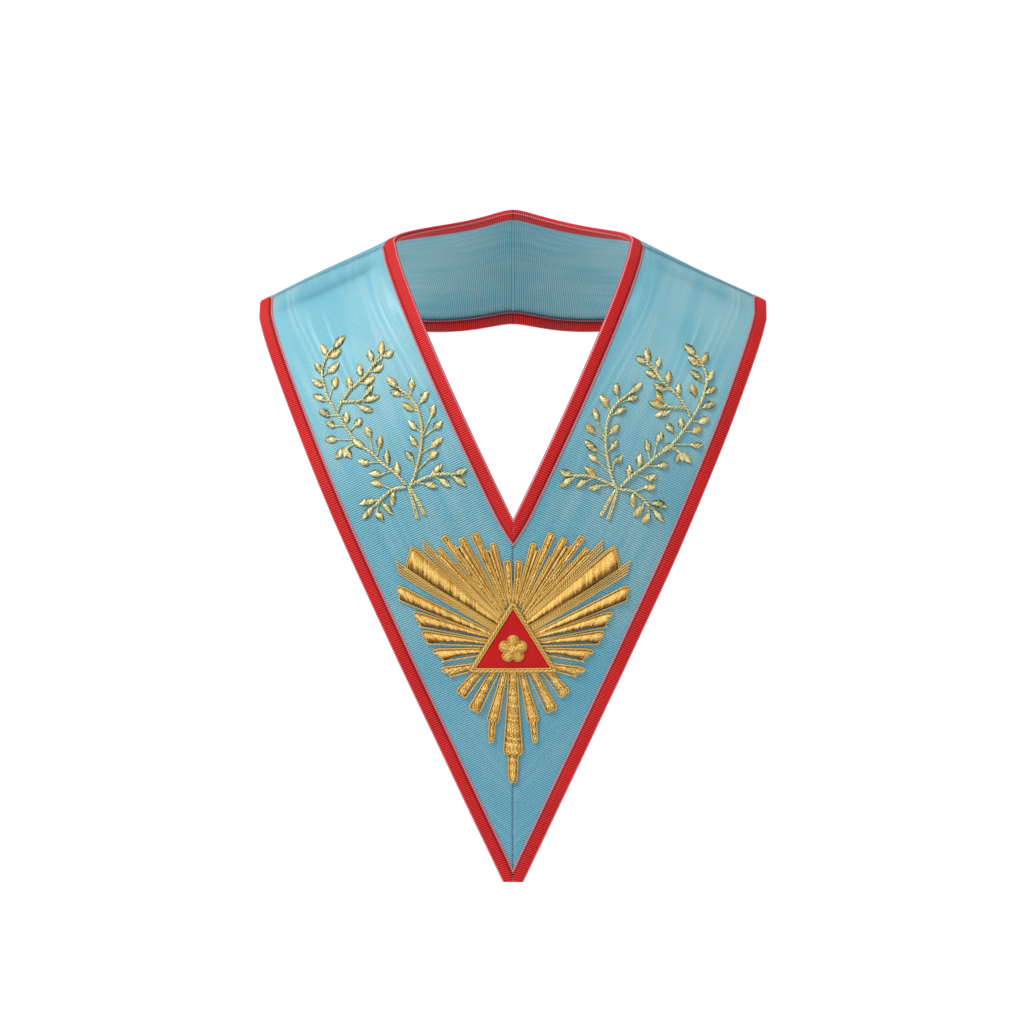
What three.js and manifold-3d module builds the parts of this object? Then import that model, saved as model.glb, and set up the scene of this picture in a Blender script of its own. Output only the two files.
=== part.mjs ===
// A ceremonial collar sash in the form that it takes when it is worn: two ribbon legs that meet
// in a V on the chest and a plain ribbon back that goes round the nape, with bound edges,
// a padded sunburst, a triangle with a rosette, and a pair of leafy sprigs on each leg.
// Millimetres. X to the viewer's right, Y to the back, Z up. The origin is the nape.
import * as THREE from 'three';
import Module from 'manifold-3d';
import { mergeVertices } from 'three/addons/utils/BufferGeometryUtils.js';

const wasm = await Module();
wasm.setup();

// The wearer's shape that the ribbon lies on, measured from the shoulder line beside the neck
const wearer = {
  neckSide: 77, // distance from the middle at which the shoulder line has height 0
  slope: 0.485, // fall of the shoulder line for each millimetre outwards
  rounding: 8, // rounds the shoulder line off at the middle
  chestDepth: 128, // chest in front of the shoulder line
  chestNarrowing: 6.0e-6, // loss of chest depth for each cubic millimetre outwards
  chestHeight: 225, // drop over which the chest turns from level to upright
  backDepth: 122,
  backHeight: 170,
};

// The ribbon's outline, seen from the front
const neckHalfWidth = 79;
const shoulderHalfWidth = 173.5;
const notchDrop = 164; // the inner edges meet this far below the shoulder line
const outerMeetingDrop = 431; // the outer edges would meet here
const tipDrop = 415; // and are cut off square here
const seamLean = 8; // the shoulder seam starts this far forward and ends this far back
const napeBehind = 63; // inner edge at the centre back

// The layers, from the wearer outwards
const gap = 0.3;
const ribbonThickness = 1.2;
const bindingLeaf = 1.0;
const bindingWidth = 9.6;
const ribbonBottom = bindingLeaf + gap;
const ribbonTop = ribbonBottom + ribbonThickness;
const bindingTop = ribbonTop + gap + bindingLeaf;
const embroideryBase = ribbonTop + gap;

// The sunburst, with places measured from its middle, for the viewer's right half
const burst = {
  height: -249.6,
  edge: 0.5, // height of a ray's outline above its base
  plate: 0.8, // thickness of the stitched ground under the triangle
  plateMargin: 3,
  rootOverlap: 3,
};
const rays = [
  // tip place, width there, root place, width there, padded height, reach of the upper corner
  { tip: [4.1, 57.5], tipWidth: 4.0, root: [1.5, 31.0], rootWidth: 1.6, pad: 1.6, slant: 0 },
  { tip: [15.1, 69.0], tipWidth: 4.8, root: [3.9, 31.2], rootWidth: 2.0, pad: 1.8, slant: 0 },
  { tip: [24.9, 75.5], tipWidth: 5.3, root: [6.1, 29.0], rootWidth: 2.0, pad: 1.8, slant: 0 },
  { tip: [34.5, 71.3], tipWidth: 4.6, root: [7.7, 24.5], rootWidth: 2.0, pad: 1.8, slant: 0 },
  { tip: [44.2, 73.4], tipWidth: 3.3, root: [9.3, 22.8], rootWidth: 1.6, pad: 1.5, slant: 0 },
  { tip: [49.4, 65.9], tipWidth: 3.3, root: [10.4, 21.6], rootWidth: 1.6, pad: 1.5, slant: 0 },
  { tip: [60.7, 70.2], tipWidth: 2.2, root: [11.0, 20.7], rootWidth: 1.4, pad: 1.2, slant: 0 },
  { tip: [69.2, 59.4], tipWidth: 12.6, root: [11.6, 17.0], rootWidth: 5.0, pad: 2.8, slant: 5 },
  { tip: [79.3, 56.8], tipWidth: 2.6, root: [13.7, 12.5], rootWidth: 1.8, pad: 1.4, slant: 0 },
  { tip: [75.6, 36.6], tipWidth: 8.0, root: [16.2, 8.2], rootWidth: 3.2, pad: 2.2, slant: 5 },
  { tip: [64.2, 19.0], tipWidth: 6.8, root: [17.5, 5.7], rootWidth: 3.5, pad: 2.0, slant: 7 },
  { tip: [57.5, 7.2], tipWidth: 6.6, root: [21.3, 1.5], rootWidth: 3.8, pad: 2.0, slant: 7 },
  { tip: [50.5, -6.5], tipWidth: 6.0, root: [24.3, -4.8], rootWidth: 4.5, pad: 1.8, slant: 6 },
  { tip: [44.3, -19.6], tipWidth: 5.5, root: [29.0, -16.4], rootWidth: 4.0, pad: 1.8, slant: 5 },
  { tip: [34.7, -34.0], tipWidth: 6.0, root: [23.4, -19.5], rootWidth: 4.6, pad: 1.8, slant: 0 },
  { tip: [26.0, -45.0], tipWidth: 6.0, root: [13.2, -19.5], rootWidth: 4.6, pad: 1.8, slant: 0 },
];
// Rays that end in a narrower spear past a step
const spears = [
  {
    tip: [14.7, -67.5], tipWidth: 3.4, step: [13.6, -52], stepWidth: 7.5,
    root: [5.7, -19.5], rootWidth: 3.5, pad: 1.8,
  },
  {
    tip: [0, -95.8], tipWidth: 5.4, step: [0, -74.5], stepWidth: 15,
    root: [0, -19.5], rootWidth: 6.5, pad: 2.4,
  },
];

// The triangle, with its corners measured from the middle of the sunburst
const triangle = { top: 30.5, bottom: -18, halfBase: 29.4, cordWidth: 2.8, cordHeight: 2.2, field: 1.0 };
const rosette = {
  height: -2.0,
  petals: 5,
  reach: 5.3, // from the middle to the middle of a petal
  petal: { length: 7.6, width: 6.4, height: 1.2, sides: 10 },
  button: { length: 5.6, width: 5.6, height: 2.2, sides: 10 },
  lift: 0.03, // each petal lies a little over the one before
};

// The sprigs of the viewer's right leg, with places measured from the knot; the other is its mirror
const knot = { across: 68.7, height: -144 };
// Each twig lies a little over the one before, by the lift
const stem = { width: 1.1, height: 0.9, step: 8, lift: 0.06 };
const leaf = { length: 7.0, width: 3.8, height: 1.3, neck: 0.8, lift: 0.15 };
// A twig passes through its points. Its leaves stand on its outer and inner side, seen along it:
// how many, from and to which part of its length, the first and last stalk, and their lean.
const twigs = [
  {
    through: [[0, 0], [12, 9], [34, 27], [49, 44], [57.5, 61], [56, 75], [48, 86.5]],
    outer: { count: 10, from: 0.12, to: 0.93, stalks: [8, 1], lean: 58 },
    inner: { count: 9, from: 0.08, to: 0.93, stalks: [1.5, 1.5], lean: 42 },
  },
  {
    through: [[47, 41.5], [44.5, 51], [36, 61], [22.5, 74], [15, 79]],
    outer: { count: 4, from: 0.4, to: 0.97, stalks: [1, 1], lean: 48 },
    inner: { count: 2, from: 0.53, to: 0.72, stalks: [1.5, 1.5], lean: 26 },
  },
  {
    through: [[44.5, 51], [36, 53], [25, 53.5]],
    outer: { count: 1, from: 0.6, to: 0.6, stalks: [3, 3], lean: 50 },
    inner: { count: 1, from: 0.7, to: 0.7, stalks: [2, 2], lean: 58 },
  },
  {
    through: [[0, 0], [-5.5, 10], [-8, 30], [-6, 47], [-2.5, 60]],
    outer: { count: 6, from: 0.22, to: 0.94, stalks: [1.5, 3.5], lean: 45 },
    inner: { count: 5, from: 0.18, to: 0.8, stalks: [8, 4.5], lean: 44 },
  },
  {
    through: [[0, 0], [-8, 6], [-15, 8.5], [-28.5, 6.5]],
    outer: { count: 1, from: 0.5, to: 0.5, stalks: [0.5, 0.5], lean: 34 },
    inner: { count: 3, from: 0.4, to: 0.97, stalks: [3.5, 0.5], lean: 46 },
  },
  {
    through: [[0, 0], [6, -2], [14, -6.5], [22, -13]],
    outer: { count: 3, from: 0.3, to: 0.8, stalks: [0.5, 5], lean: 60 },
    inner: { count: 1, from: 0.75, to: 0.75, stalks: [1, 1], lean: 34 },
  },
];
const tails = [
  [[0, 0], [-4, -9], [-5, -17.4]],
  [[-1, 1], [-7, -6], [-10.7, -15.9]],
];

const quarterTurn = Math.PI / 2;
const degrees = Math.PI / 180;

// Height of the shoulder line, which goes over the body from side to side
function shoulderLine(x) {
  return wearer.slope * (Math.hypot(wearer.neckSide, wearer.rounding) - Math.hypot(x, wearer.rounding));
}

// A point of the wearer. The turn is 0 on the shoulder line, -1 where the chest has turned
// upright and 1 where the back has; past that it goes straight down.
function bodyPoint(x, turn) {
  const angle = Math.min(Math.abs(turn), 1) * quarterTurn;
  const inFront = turn < 0;
  const depth = inFront ? wearer.chestNarrowing * Math.abs(x) ** 3 - wearer.chestDepth : wearer.backDepth;
  const height = inFront ? wearer.chestHeight : wearer.backHeight;
  const straight = Math.max(Math.abs(turn) - 1, 0) * height;
  const drop = height * (1 - Math.cos(angle)) + straight;
  return new THREE.Vector3(x, depth * Math.sin(angle), shoulderLine(x) - drop);
}

// The same point lifted off the wearer, square to the surface
function raisedPoint(x, turn, height) {
  const reach = 0.5;
  const swing = 0.002;
  const sideways = bodyPoint(x + reach, turn).sub(bodyPoint(x - reach, turn));
  const around = bodyPoint(x, turn + swing).sub(bodyPoint(x, turn - swing));
  const outward = sideways.cross(around).normalize();
  return bodyPoint(x, turn).addScaledVector(outward, height);
}

function turnForDrop(drop) {
  if (drop >= wearer.chestHeight) return -drop / wearer.chestHeight;
  return -Math.acos(1 - drop / wearer.chestHeight) / quarterTurn;
}

function dropForTurn(turn) {
  const angle = Math.min(-turn, 1) * quarterTurn;
  return wearer.chestHeight * (1 - Math.cos(angle) + Math.max(-turn - 1, 0));
}

// A point given by its place in the view from the front and its height over the wearer
function frontPoint(x, z, height) {
  let [baseX, baseZ] = [x, z];
  let point;
  for (let pass = 0; pass < 3; pass += 1) {
    point = raisedPoint(baseX, turnForDrop(Math.max(shoulderLine(baseX) - baseZ, 0.01)), height);
    baseX += x - point.x;
    baseZ += z - point.z;
  }
  return point;
}

// Where one straight edge of the ribbon crosses a row of the chest
function edgeAcross(halfWidth, meetingDrop, turn) {
  const lean = halfWidth / (shoulderLine(halfWidth) + meetingDrop);
  const drop = dropForTurn(Math.min(turn, 0));
  let x = halfWidth;
  for (let pass = 0; pass < 40; pass += 1) x = (shoulderLine(x) - drop + meetingDrop) * lean;
  return x;
}

// A row across the ribbon, with a way to find the point that lies a distance from its inner edge
function rowThrough(places, fullWidth) {
  const along = [0];
  for (let i = 1; i < places.length; i += 1) {
    const before = bodyPoint(places[i - 1].x, places[i - 1].turn);
    along.push(along[i - 1] + before.distanceTo(bodyPoint(places[i].x, places[i].turn)));
  }
  return {
    width: fullWidth ?? along[along.length - 1],
    point(across, height) {
      let i = 1;
      while (i < places.length - 1 && along[i] < across) i += 1;
      const part = (across - along[i - 1]) / (along[i] - along[i - 1]);
      const x = THREE.MathUtils.lerp(places[i - 1].x, places[i].x, part);
      const turn = THREE.MathUtils.lerp(places[i - 1].turn, places[i].turn, part);
      return raisedPoint(x, turn, height);
    },
  };
}

const rowSteps = 16;

function chestRow(turn) {
  const inner = edgeAcross(neckHalfWidth, notchDrop, turn);
  const outer = edgeAcross(shoulderHalfWidth, outerMeetingDrop, turn);
  const places = [];
  for (let i = 0; i <= rowSteps; i += 1) {
    places.push({ x: THREE.MathUtils.lerp(inner, outer, i / rowSteps), turn });
  }
  return rowThrough(places);
}

// A row that runs straight over the shoulders or the back as seen from above
function levelRow(x, y, heading, width) {
  const stride = 4;
  const places = [];
  let walked = 0;
  let last = null;
  for (let step = 0; walked < width; step += 1) {
    const px = x + step * stride * Math.cos(heading);
    const py = y + step * stride * Math.sin(heading);
    const depth = py < 0 ? wearer.chestDepth - wearer.chestNarrowing * Math.abs(px) ** 3 : wearer.backDepth;
    places.push({ x: px, turn: Math.asin(py / depth) / quarterTurn });
    const here = bodyPoint(px, places[step].turn);
    if (last) walked += last.distanceTo(here);
    last = here;
  }
  return rowThrough(places, width);
}

const seamHeading = Math.atan2(2 * seamLean, shoulderHalfWidth - neckHalfWidth);
const ribbonWidth = chestRow(-0.12).width;

function shoulderRow(shift) {
  return levelRow(neckHalfWidth, shift - seamLean, seamHeading, ribbonWidth);
}

// The rows of the two parts of the ribbon, a little apart at the shoulder seam
const chestTurns = [
  -0.15, -0.23, -0.31, -0.4, -0.49, -0.58, -0.68, -0.79, -0.9, -1, -1.12, -1.3, -1.6, -1.85, -2.2,
];
const chestRows = [shoulderRow(-gap / 2), ...chestTurns.map(chestRow)];
const backSteps = 12;
const backRows = [shoulderRow(gap / 2)];
for (let i = 1; i <= backSteps; i += 1) {
  const part = i / backSteps;
  const x = neckHalfWidth * Math.cos(part * quarterTurn);
  const y = (napeBehind + seamLean) * Math.sin(part * quarterTurn) - seamLean;
  const heading = THREE.MathUtils.lerp(seamHeading, quarterTurn, part);
  backRows.push(levelRow(x, y, heading, ribbonWidth));
}

// A closed solid from points and triangles, turned so that its faces point outwards
function closedSolid(points, triangles) {
  let volume = 0;
  for (const [a, b, c] of triangles) {
    volume += points[a].dot(new THREE.Vector3().crossVectors(points[b], points[c]));
  }
  const facing = volume > 0 ? triangles : triangles.map(([a, b, c]) => [a, c, b]);
  const mesh = new wasm.Mesh({
    numProp: 3,
    vertProperties: new Float32Array(points.flatMap((p) => [p.x, p.y, p.z])),
    triVerts: new Uint32Array(facing.flat()),
  });
  return new wasm.Manifold(mesh);
}

// A solid swept through rings that all have the same number of points
function sweptSolid(rings, closed = false) {
  const count = rings[0].length;
  const triangles = [];
  const last = closed ? rings.length : rings.length - 1;
  for (let r = 0; r < last; r += 1) {
    const next = ((r + 1) % rings.length) * count;
    for (let i = 0; i < count; i += 1) {
      const j = (i + 1) % count;
      triangles.push([r * count + i, r * count + j, next + j], [r * count + i, next + j, next + i]);
    }
  }
  if (!closed) {
    const end = (rings.length - 1) * count;
    for (const [a, b, c] of ringCap(rings[0])) triangles.push([a, c, b]);
    for (const [a, b, c] of ringCap(rings[rings.length - 1])) triangles.push([end + a, end + b, end + c]);
  }
  return closedSolid(rings.flat(), triangles);
}

// The triangles that close a flat or nearly flat ring
function ringCap(ring) {
  const start = ring[0];
  const normal = new THREE.Vector3();
  for (let i = 1; i < ring.length - 1; i += 1) {
    const side = ring[i].clone().sub(start);
    normal.add(side.cross(ring[i + 1].clone().sub(start)));
  }
  normal.normalize();
  const far = ring.reduce((best, p) => (p.distanceTo(start) > best.distanceTo(start) ? p : best), start);
  const first = far.clone().sub(start).normalize();
  const second = new THREE.Vector3().crossVectors(normal, first);
  const flat = ring.map((p) => {
    const from = p.clone().sub(start);
    return new THREE.Vector2(from.dot(first), from.dot(second));
  });
  return THREE.ShapeUtils.triangulateShape(flat, []);
}

// A box given by two corners
function boxSolid(low, high) {
  const size = new THREE.Vector3().subVectors(high, low);
  const box = new THREE.BoxGeometry(size.x, size.y, size.z);
  const middle = new THREE.Vector3().addVectors(low, high).multiplyScalar(0.5);
  box.translate(middle.x, middle.y, middle.z);
  box.deleteAttribute('normal');
  box.deleteAttribute('uv');
  const merged = mergeVertices(box);
  const mesh = new wasm.Mesh({
    numProp: 3,
    vertProperties: merged.attributes.position.array,
    triVerts: new Uint32Array(merged.index.array),
  });
  return new wasm.Manifold(mesh);
}

// Boxes that trim each half at the middle seam and at the tip
const beyond = 600;
const lowCorner = new THREE.Vector3(-beyond, -beyond, -beyond);
const acrossMiddle = boxSolid(lowCorner, new THREE.Vector3(gap / 2, beyond, beyond));

function belowDrop(drop) {
  return boxSolid(lowCorner, new THREE.Vector3(beyond, beyond, -drop));
}

// The ribbon itself, between its two layers of binding
function panel(rows) {
  const columns = 7;
  const inset = bindingLeaf + gap;
  const rings = rows.map((row) => {
    const ring = [];
    for (let i = 0; i <= columns; i += 1) {
      ring.push(row.point(THREE.MathUtils.lerp(inset, row.width - inset, i / columns), ribbonTop));
    }
    for (let i = columns; i >= 0; i -= 1) {
      ring.push(row.point(THREE.MathUtils.lerp(inset, row.width - inset, i / columns), ribbonBottom));
    }
    return ring;
  });
  return sweptSolid(rings).subtract(acrossMiddle).subtract(belowDrop(tipDrop - inset));
}

// The binding, folded over one edge of the ribbon
function binding(rows, atInnerEdge) {
  const profile = [
    [bindingWidth, 0],
    [bindingWidth, bindingLeaf],
    [bindingLeaf, bindingLeaf],
    [bindingLeaf, ribbonTop + gap],
    [bindingWidth, ribbonTop + gap],
    [bindingWidth, bindingTop],
    [bindingLeaf / 2, bindingTop],
    [0, bindingTop - bindingLeaf / 2],
    [0, bindingLeaf / 2],
    [bindingLeaf / 2, 0],
  ];
  const rings = rows.map((row) =>
    profile.map(([across, height]) => row.point(atInnerEdge ? across : row.width - across, height)),
  );
  return sweptSolid(rings).subtract(acrossMiddle).subtract(belowDrop(tipDrop));
}

// One padded ray: a crowned strip whose section is lower at its two edges
function ray(sections, pad) {
  const shoulder = 0.28; // part of the width at which the padding has its full height
  const rings = sections.map(({ left, right, height }) => {
    const at = (part, above) => {
      const x = THREE.MathUtils.lerp(left[0], right[0], part);
      const z = THREE.MathUtils.lerp(left[1], right[1], part);
      return frontPoint(x, burst.height + z, embroideryBase + above);
    };
    const full = height * pad;
    return [
      at(0, 0),
      at(0, burst.edge),
      at(shoulder, full),
      at(1 - shoulder, full),
      at(1, burst.edge),
      at(1, 0),
    ];
  });
  return sweptSolid(rings);
}

// The two edge points of a ray's section
function section(place, direction, width, height, slant = 0) {
  const side = [-direction[1] * width * 0.5, direction[0] * width * 0.5];
  const reach = [direction[0] * slant * 0.5, direction[1] * slant * 0.5];
  return {
    left: [place[0] + side[0] + reach[0], place[1] + side[1] + reach[1]],
    right: [place[0] - side[0] - reach[0], place[1] - side[1] - reach[1]],
    height,
  };
}

function between(a, b, part) {
  return [THREE.MathUtils.lerp(a[0], b[0], part), THREE.MathUtils.lerp(a[1], b[1], part)];
}

function directionOf(from, to) {
  const length = Math.hypot(to[0] - from[0], to[1] - from[1]);
  return { length, direction: [(to[0] - from[0]) / length, (to[1] - from[1]) / length] };
}

function mirroredPlace([x, z]) {
  return [-x, z];
}

function straightRay({ tip, tipWidth, root, rootWidth, pad, slant }) {
  const { length, direction } = directionOf(root, tip);
  const start = between(root, tip, -burst.rootOverlap / length);
  const pieces = 3;
  const sections = [];
  for (let i = 0; i <= pieces; i += 1) {
    const part = i / pieces;
    const width = THREE.MathUtils.lerp(rootWidth, tipWidth, part);
    const height = part === 1 ? 0.75 : THREE.MathUtils.lerp(0.8, 1, part);
    sections.push(section(between(start, tip, part), direction, width, height, slant * part));
  }
  return ray(sections, pad);
}

function spearRay({ tip, tipWidth, step, stepWidth, root, rootWidth, pad }) {
  const wide = directionOf(root, step);
  const narrow = directionOf(step, tip);
  const shoulderLength = 1.5;
  const start = between(root, step, -burst.rootOverlap / wide.length);
  const sections = [
    section(start, wide.direction, rootWidth, 0.8),
    section(between(root, step, 0.5), wide.direction, (rootWidth + stepWidth) / 2, 1),
    section(step, wide.direction, stepWidth, 0.9),
    section(between(step, tip, shoulderLength / narrow.length), narrow.direction, tipWidth * 0.9, 0.8),
    section(between(step, tip, 0.6), narrow.direction, tipWidth * 1.1, 0.9),
    section(tip, narrow.direction, tipWidth * 0.35, 0.5),
  ];
  return ray(sections, pad);
}

function triangleCorners(margin) {
  const side = directionOf([triangle.halfBase, triangle.bottom], [0, triangle.top]);
  const atTop = margin / Math.abs(side.direction[0]);
  const atBase = (margin * (1 + Math.abs(side.direction[0]))) / Math.abs(side.direction[1]);
  return [
    [0, triangle.top + atTop],
    [triangle.halfBase + atBase, triangle.bottom - margin],
    [-triangle.halfBase - atBase, triangle.bottom - margin],
  ];
}

// A triangular slab on the chest between two levels
function triangleSlab(margin, low, high) {
  const corners = triangleCorners(margin);
  return sweptSolid(
    [low, high].map((level) => corners.map(([x, z]) => frontPoint(x, burst.height + z, level))),
  );
}

function sunburst() {
  const solids = [triangleSlab(burst.plateMargin, embroideryBase, embroideryBase + burst.plate)];
  for (const row of rays) {
    const ends = { tip: mirroredPlace(row.tip), root: mirroredPlace(row.root) };
    solids.push(straightRay(row));
    solids.push(straightRay({ ...row, ...ends, slant: -row.slant }));
  }
  for (const row of spears) {
    solids.push(spearRay(row));
    if (row.tip[0] === 0) continue;
    const ends = { tip: mirroredPlace(row.tip), root: mirroredPlace(row.root) };
    solids.push(spearRay({ ...row, ...ends, step: mirroredPlace(row.step) }));
  }
  const seatLevel = embroideryBase + burst.plate;
  const clearance = 4 * burst.plate + triangle.cordHeight;
  return wasm.Manifold.union(solids).subtract(triangleSlab(gap, seatLevel, seatLevel + clearance));
}

const triangleBase = embroideryBase + burst.plate + gap;

// The double cord round the triangle
function triangleBorder() {
  const shoulder = triangle.cordWidth / 4;
  const profile = [
    [0, 0],
    [0, triangle.cordHeight * 0.6],
    [shoulder, triangle.cordHeight],
    [triangle.cordWidth - shoulder, triangle.cordHeight],
    [triangle.cordWidth, triangle.cordHeight * 0.6],
    [triangle.cordWidth, 0],
  ];
  const rings = [0, 1, 2].map((corner) =>
    profile.map(([inwards, height]) => {
      const [x, z] = triangleCorners(-inwards)[corner];
      return frontPoint(x, burst.height + z, triangleBase + height);
    }),
  );
  return sweptSolid(rings, true);
}

function triangleField() {
  return triangleSlab(-triangle.cordWidth - gap, triangleBase, triangleBase + triangle.field);
}

// One padded leaf or petal that points along a direction from its base, with a stalk in front of it
function leafSolid(base, direction, size, level) {
  const side = [-direction[1], direction[0]];
  const at = (along, across, height) => {
    const x = base[0] + direction[0] * along + side[0] * across;
    const z = base[1] + direction[1] * along + side[1] * across;
    return frontPoint(x, z, level + height);
  };
  const { length, width, height, stalk } = size;
  const half = width / 2;
  const neck = size.neck / 2;
  const widest = stalk + length * 0.45;
  const points = [
    at(0, neck, 0),
    at(widest, half, 0),
    at(stalk + length, 0, 0),
    at(widest, -half, 0),
    at(0, -neck, 0),
    at(0, 0, height * 0.5),
    at(stalk + length * 0.25, 0, height),
    at(stalk + length * 0.7, 0, height),
  ];
  const underside = [[0, 4, 1], [1, 4, 3], [1, 3, 2]];
  const upper = [
    [4, 0, 5], [0, 1, 5], [5, 1, 6], [6, 1, 7], [1, 2, 7],
    [2, 3, 7], [7, 3, 6], [6, 3, 5], [3, 4, 5],
  ];
  return closedSolid(points, [...underside, ...upper]);
}

function stemSolid(places, level) {
  const rings = places.map((place, i) => {
    const before = places[Math.max(i - 1, 0)];
    const after = places[Math.min(i + 1, places.length - 1)];
    const { direction } = directionOf(before, after);
    const at = (across, height) =>
      frontPoint(
        place[0] - direction[1] * across * stem.width,
        place[1] + direction[0] * across * stem.width,
        level + height * stem.height,
      );
    return [at(-0.5, 0), at(-0.3, 1), at(0.3, 1), at(0.5, 0)];
  });
  return sweptSolid(rings);
}

// A smooth route through places measured from the knot
function routeThrough(places) {
  const spots = places.map(([x, z]) => new THREE.Vector3(knot.across + x, 0, knot.height + z));
  return new THREE.CatmullRomCurve3(spots, false, 'centripetal');
}

function stemAlong(route, level) {
  const steps = Math.max(2, Math.round(route.getLength() / stem.step));
  return stemSolid(route.getSpacedPoints(steps).map((p) => [p.x, p.z]), level);
}

// A leaf that stands on a route, turned from its direction by a lean in degrees
function leafOn(route, part, lean, stalk, level) {
  const from = route.getPointAt(part);
  const heading = route.getTangentAt(part);
  const turn = lean * degrees;
  const direction = [
    heading.x * Math.cos(turn) - heading.z * Math.sin(turn),
    heading.z * Math.cos(turn) + heading.x * Math.sin(turn),
  ];
  return leafSolid([from.x, from.z], direction, { ...leaf, stalk }, level + leaf.lift);
}

function sideLeaves(route, { count, from, to, stalks, lean }, side, level) {
  const solids = [];
  for (let i = 0; i < count; i += 1) {
    const share = count > 1 ? i / (count - 1) : 0;
    const part = THREE.MathUtils.lerp(from, to, share);
    const stalk = THREE.MathUtils.lerp(stalks[0], stalks[1], share);
    solids.push(leafOn(route, part, side * lean, stalk, level));
  }
  return solids;
}

function twigSolids({ through, outer, inner }, level) {
  const route = routeThrough(through);
  return [
    stemAlong(route, level),
    leafOn(route, 1, 0, -leaf.neck, level),
    ...sideLeaves(route, outer, -1, level),
    ...sideLeaves(route, inner, 1, level),
  ];
}

function sprig() {
  const levelOf = (order) => embroideryBase + order * stem.lift;
  const solids = twigs.flatMap((twig, order) => twigSolids(twig, levelOf(order)));
  tails.forEach((tail, order) => {
    solids.push(stemAlong(routeThrough(tail), levelOf(twigs.length + order)));
  });
  return wasm.Manifold.union(solids);
}

// A low dome with a round or oval outline, turned by an angle
function dome(middle, angle, { length, width, height, sides }, level) {
  const ring = (scale, above) => {
    const points = [];
    for (let i = 0; i < sides; i += 1) {
      const at = (i * 2 * Math.PI) / sides;
      const along = (Math.cos(at) * length * scale) / 2;
      const across = (Math.sin(at) * width * scale) / 2;
      const x = middle[0] + along * Math.cos(angle) - across * Math.sin(angle);
      const z = middle[1] + along * Math.sin(angle) + across * Math.cos(angle);
      points.push(frontPoint(x, z, level + above));
    }
    return points;
  };
  return sweptSolid([ring(1, 0), ring(0.92, height * 0.6), ring(0.5, height)]);
}

// The plain five-petalled flower on the triangle
function rosetteSolid() {
  const level = triangleBase + triangle.field + gap;
  const middle = [0, burst.height + rosette.height];
  const solids = [dome(middle, 0, rosette.button, level)];
  for (let i = 0; i < rosette.petals; i += 1) {
    const angle = quarterTurn + (i * 2 * Math.PI) / rosette.petals;
    const x = middle[0] + rosette.reach * Math.cos(angle);
    const z = middle[1] + rosette.reach * Math.sin(angle);
    solids.push(dome([x, z], angle, rosette.petal, level + rosette.lift * (i + 1)));
  }
  return wasm.Manifold.union(solids);
}

const finishes = {
  ribbon: { color: 0x78c3dc, roughness: 0.55, metalness: 0 },
  binding: { color: 0xd8242c, roughness: 0.6, metalness: 0 },
  satin: { color: 0xc8202c, roughness: 0.4, metalness: 0 },
  bullion: { color: 0xd9a24a, roughness: 0.4, metalness: 0.4 },
  thread: { color: 0xcdbb76, roughness: 0.5, metalness: 0.2 },
};

function namedMesh(name, finish, solid, mirrored = false) {
  const { vertProperties, triVerts } = solid.getMesh();
  const positions = Float32Array.from(vertProperties);
  const triangles = Uint32Array.from(triVerts);
  if (mirrored) {
    for (let i = 0; i < positions.length; i += 3) positions[i] = -positions[i];
    for (let i = 0; i < triangles.length; i += 3) triangles.subarray(i, i + 3).reverse();
  }
  const geometry = new THREE.BufferGeometry();
  geometry.setAttribute('position', new THREE.BufferAttribute(positions, 3));
  geometry.setIndex(new THREE.BufferAttribute(triangles, 1));
  geometry.computeVertexNormals();
  const mesh = new THREE.Mesh(geometry, new THREE.MeshStandardMaterial(finishes[finish]));
  mesh.name = name;
  return mesh;
}

const collar = new THREE.Group();
collar.name = 'collar';
const pairs = [
  ['front_panel', 'ribbon', panel(chestRows)],
  ['back_panel', 'ribbon', panel(backRows)],
  ['front_inner_binding', 'binding', binding(chestRows, true)],
  ['front_outer_binding', 'binding', binding(chestRows, false)],
  ['back_inner_binding', 'binding', binding(backRows, true)],
  ['back_outer_binding', 'binding', binding(backRows, false)],
  ['leaf_sprig', 'thread', sprig()],
];
for (const [name, finish, solid] of pairs) {
  collar.add(namedMesh(`${name}_right`, finish, solid));
  collar.add(namedMesh(`${name}_left`, finish, solid, true));
}
collar.add(namedMesh('sunburst', 'bullion', sunburst()));
collar.add(namedMesh('triangle_border', 'bullion', triangleBorder()));
collar.add(namedMesh('triangle_field', 'satin', triangleField()));
collar.add(namedMesh('rosette', 'bullion', rosetteSolid()));

// The origin moves to the nape, where the inner edge crosses the centre back
const nape = bodyPoint(0, Math.asin(napeBehind / wearer.backDepth) / quarterTurn);
collar.position.copy(nape).negate();

const part = new THREE.Group();
part.add(collar);

export default part;
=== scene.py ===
import math

import bpy
import numpy as np
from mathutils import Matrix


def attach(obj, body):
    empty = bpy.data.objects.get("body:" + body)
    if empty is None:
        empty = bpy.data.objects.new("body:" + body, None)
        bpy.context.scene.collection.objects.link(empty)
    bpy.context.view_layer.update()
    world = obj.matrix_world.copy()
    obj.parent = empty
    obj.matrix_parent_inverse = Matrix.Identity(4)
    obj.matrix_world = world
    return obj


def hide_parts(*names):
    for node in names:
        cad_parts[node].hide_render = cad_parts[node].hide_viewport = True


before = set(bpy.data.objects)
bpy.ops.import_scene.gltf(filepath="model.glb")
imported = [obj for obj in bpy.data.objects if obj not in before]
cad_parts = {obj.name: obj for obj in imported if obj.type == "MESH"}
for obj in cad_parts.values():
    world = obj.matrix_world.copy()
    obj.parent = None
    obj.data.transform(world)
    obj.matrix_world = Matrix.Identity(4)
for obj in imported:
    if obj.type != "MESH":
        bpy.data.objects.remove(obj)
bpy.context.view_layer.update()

bpy.ops.object.select_all(action="DESELECT")
print("frame loaded:", len(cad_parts), "nodes")

halfPi = math.pi / 2
rng = np.random.default_rng(7)

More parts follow.
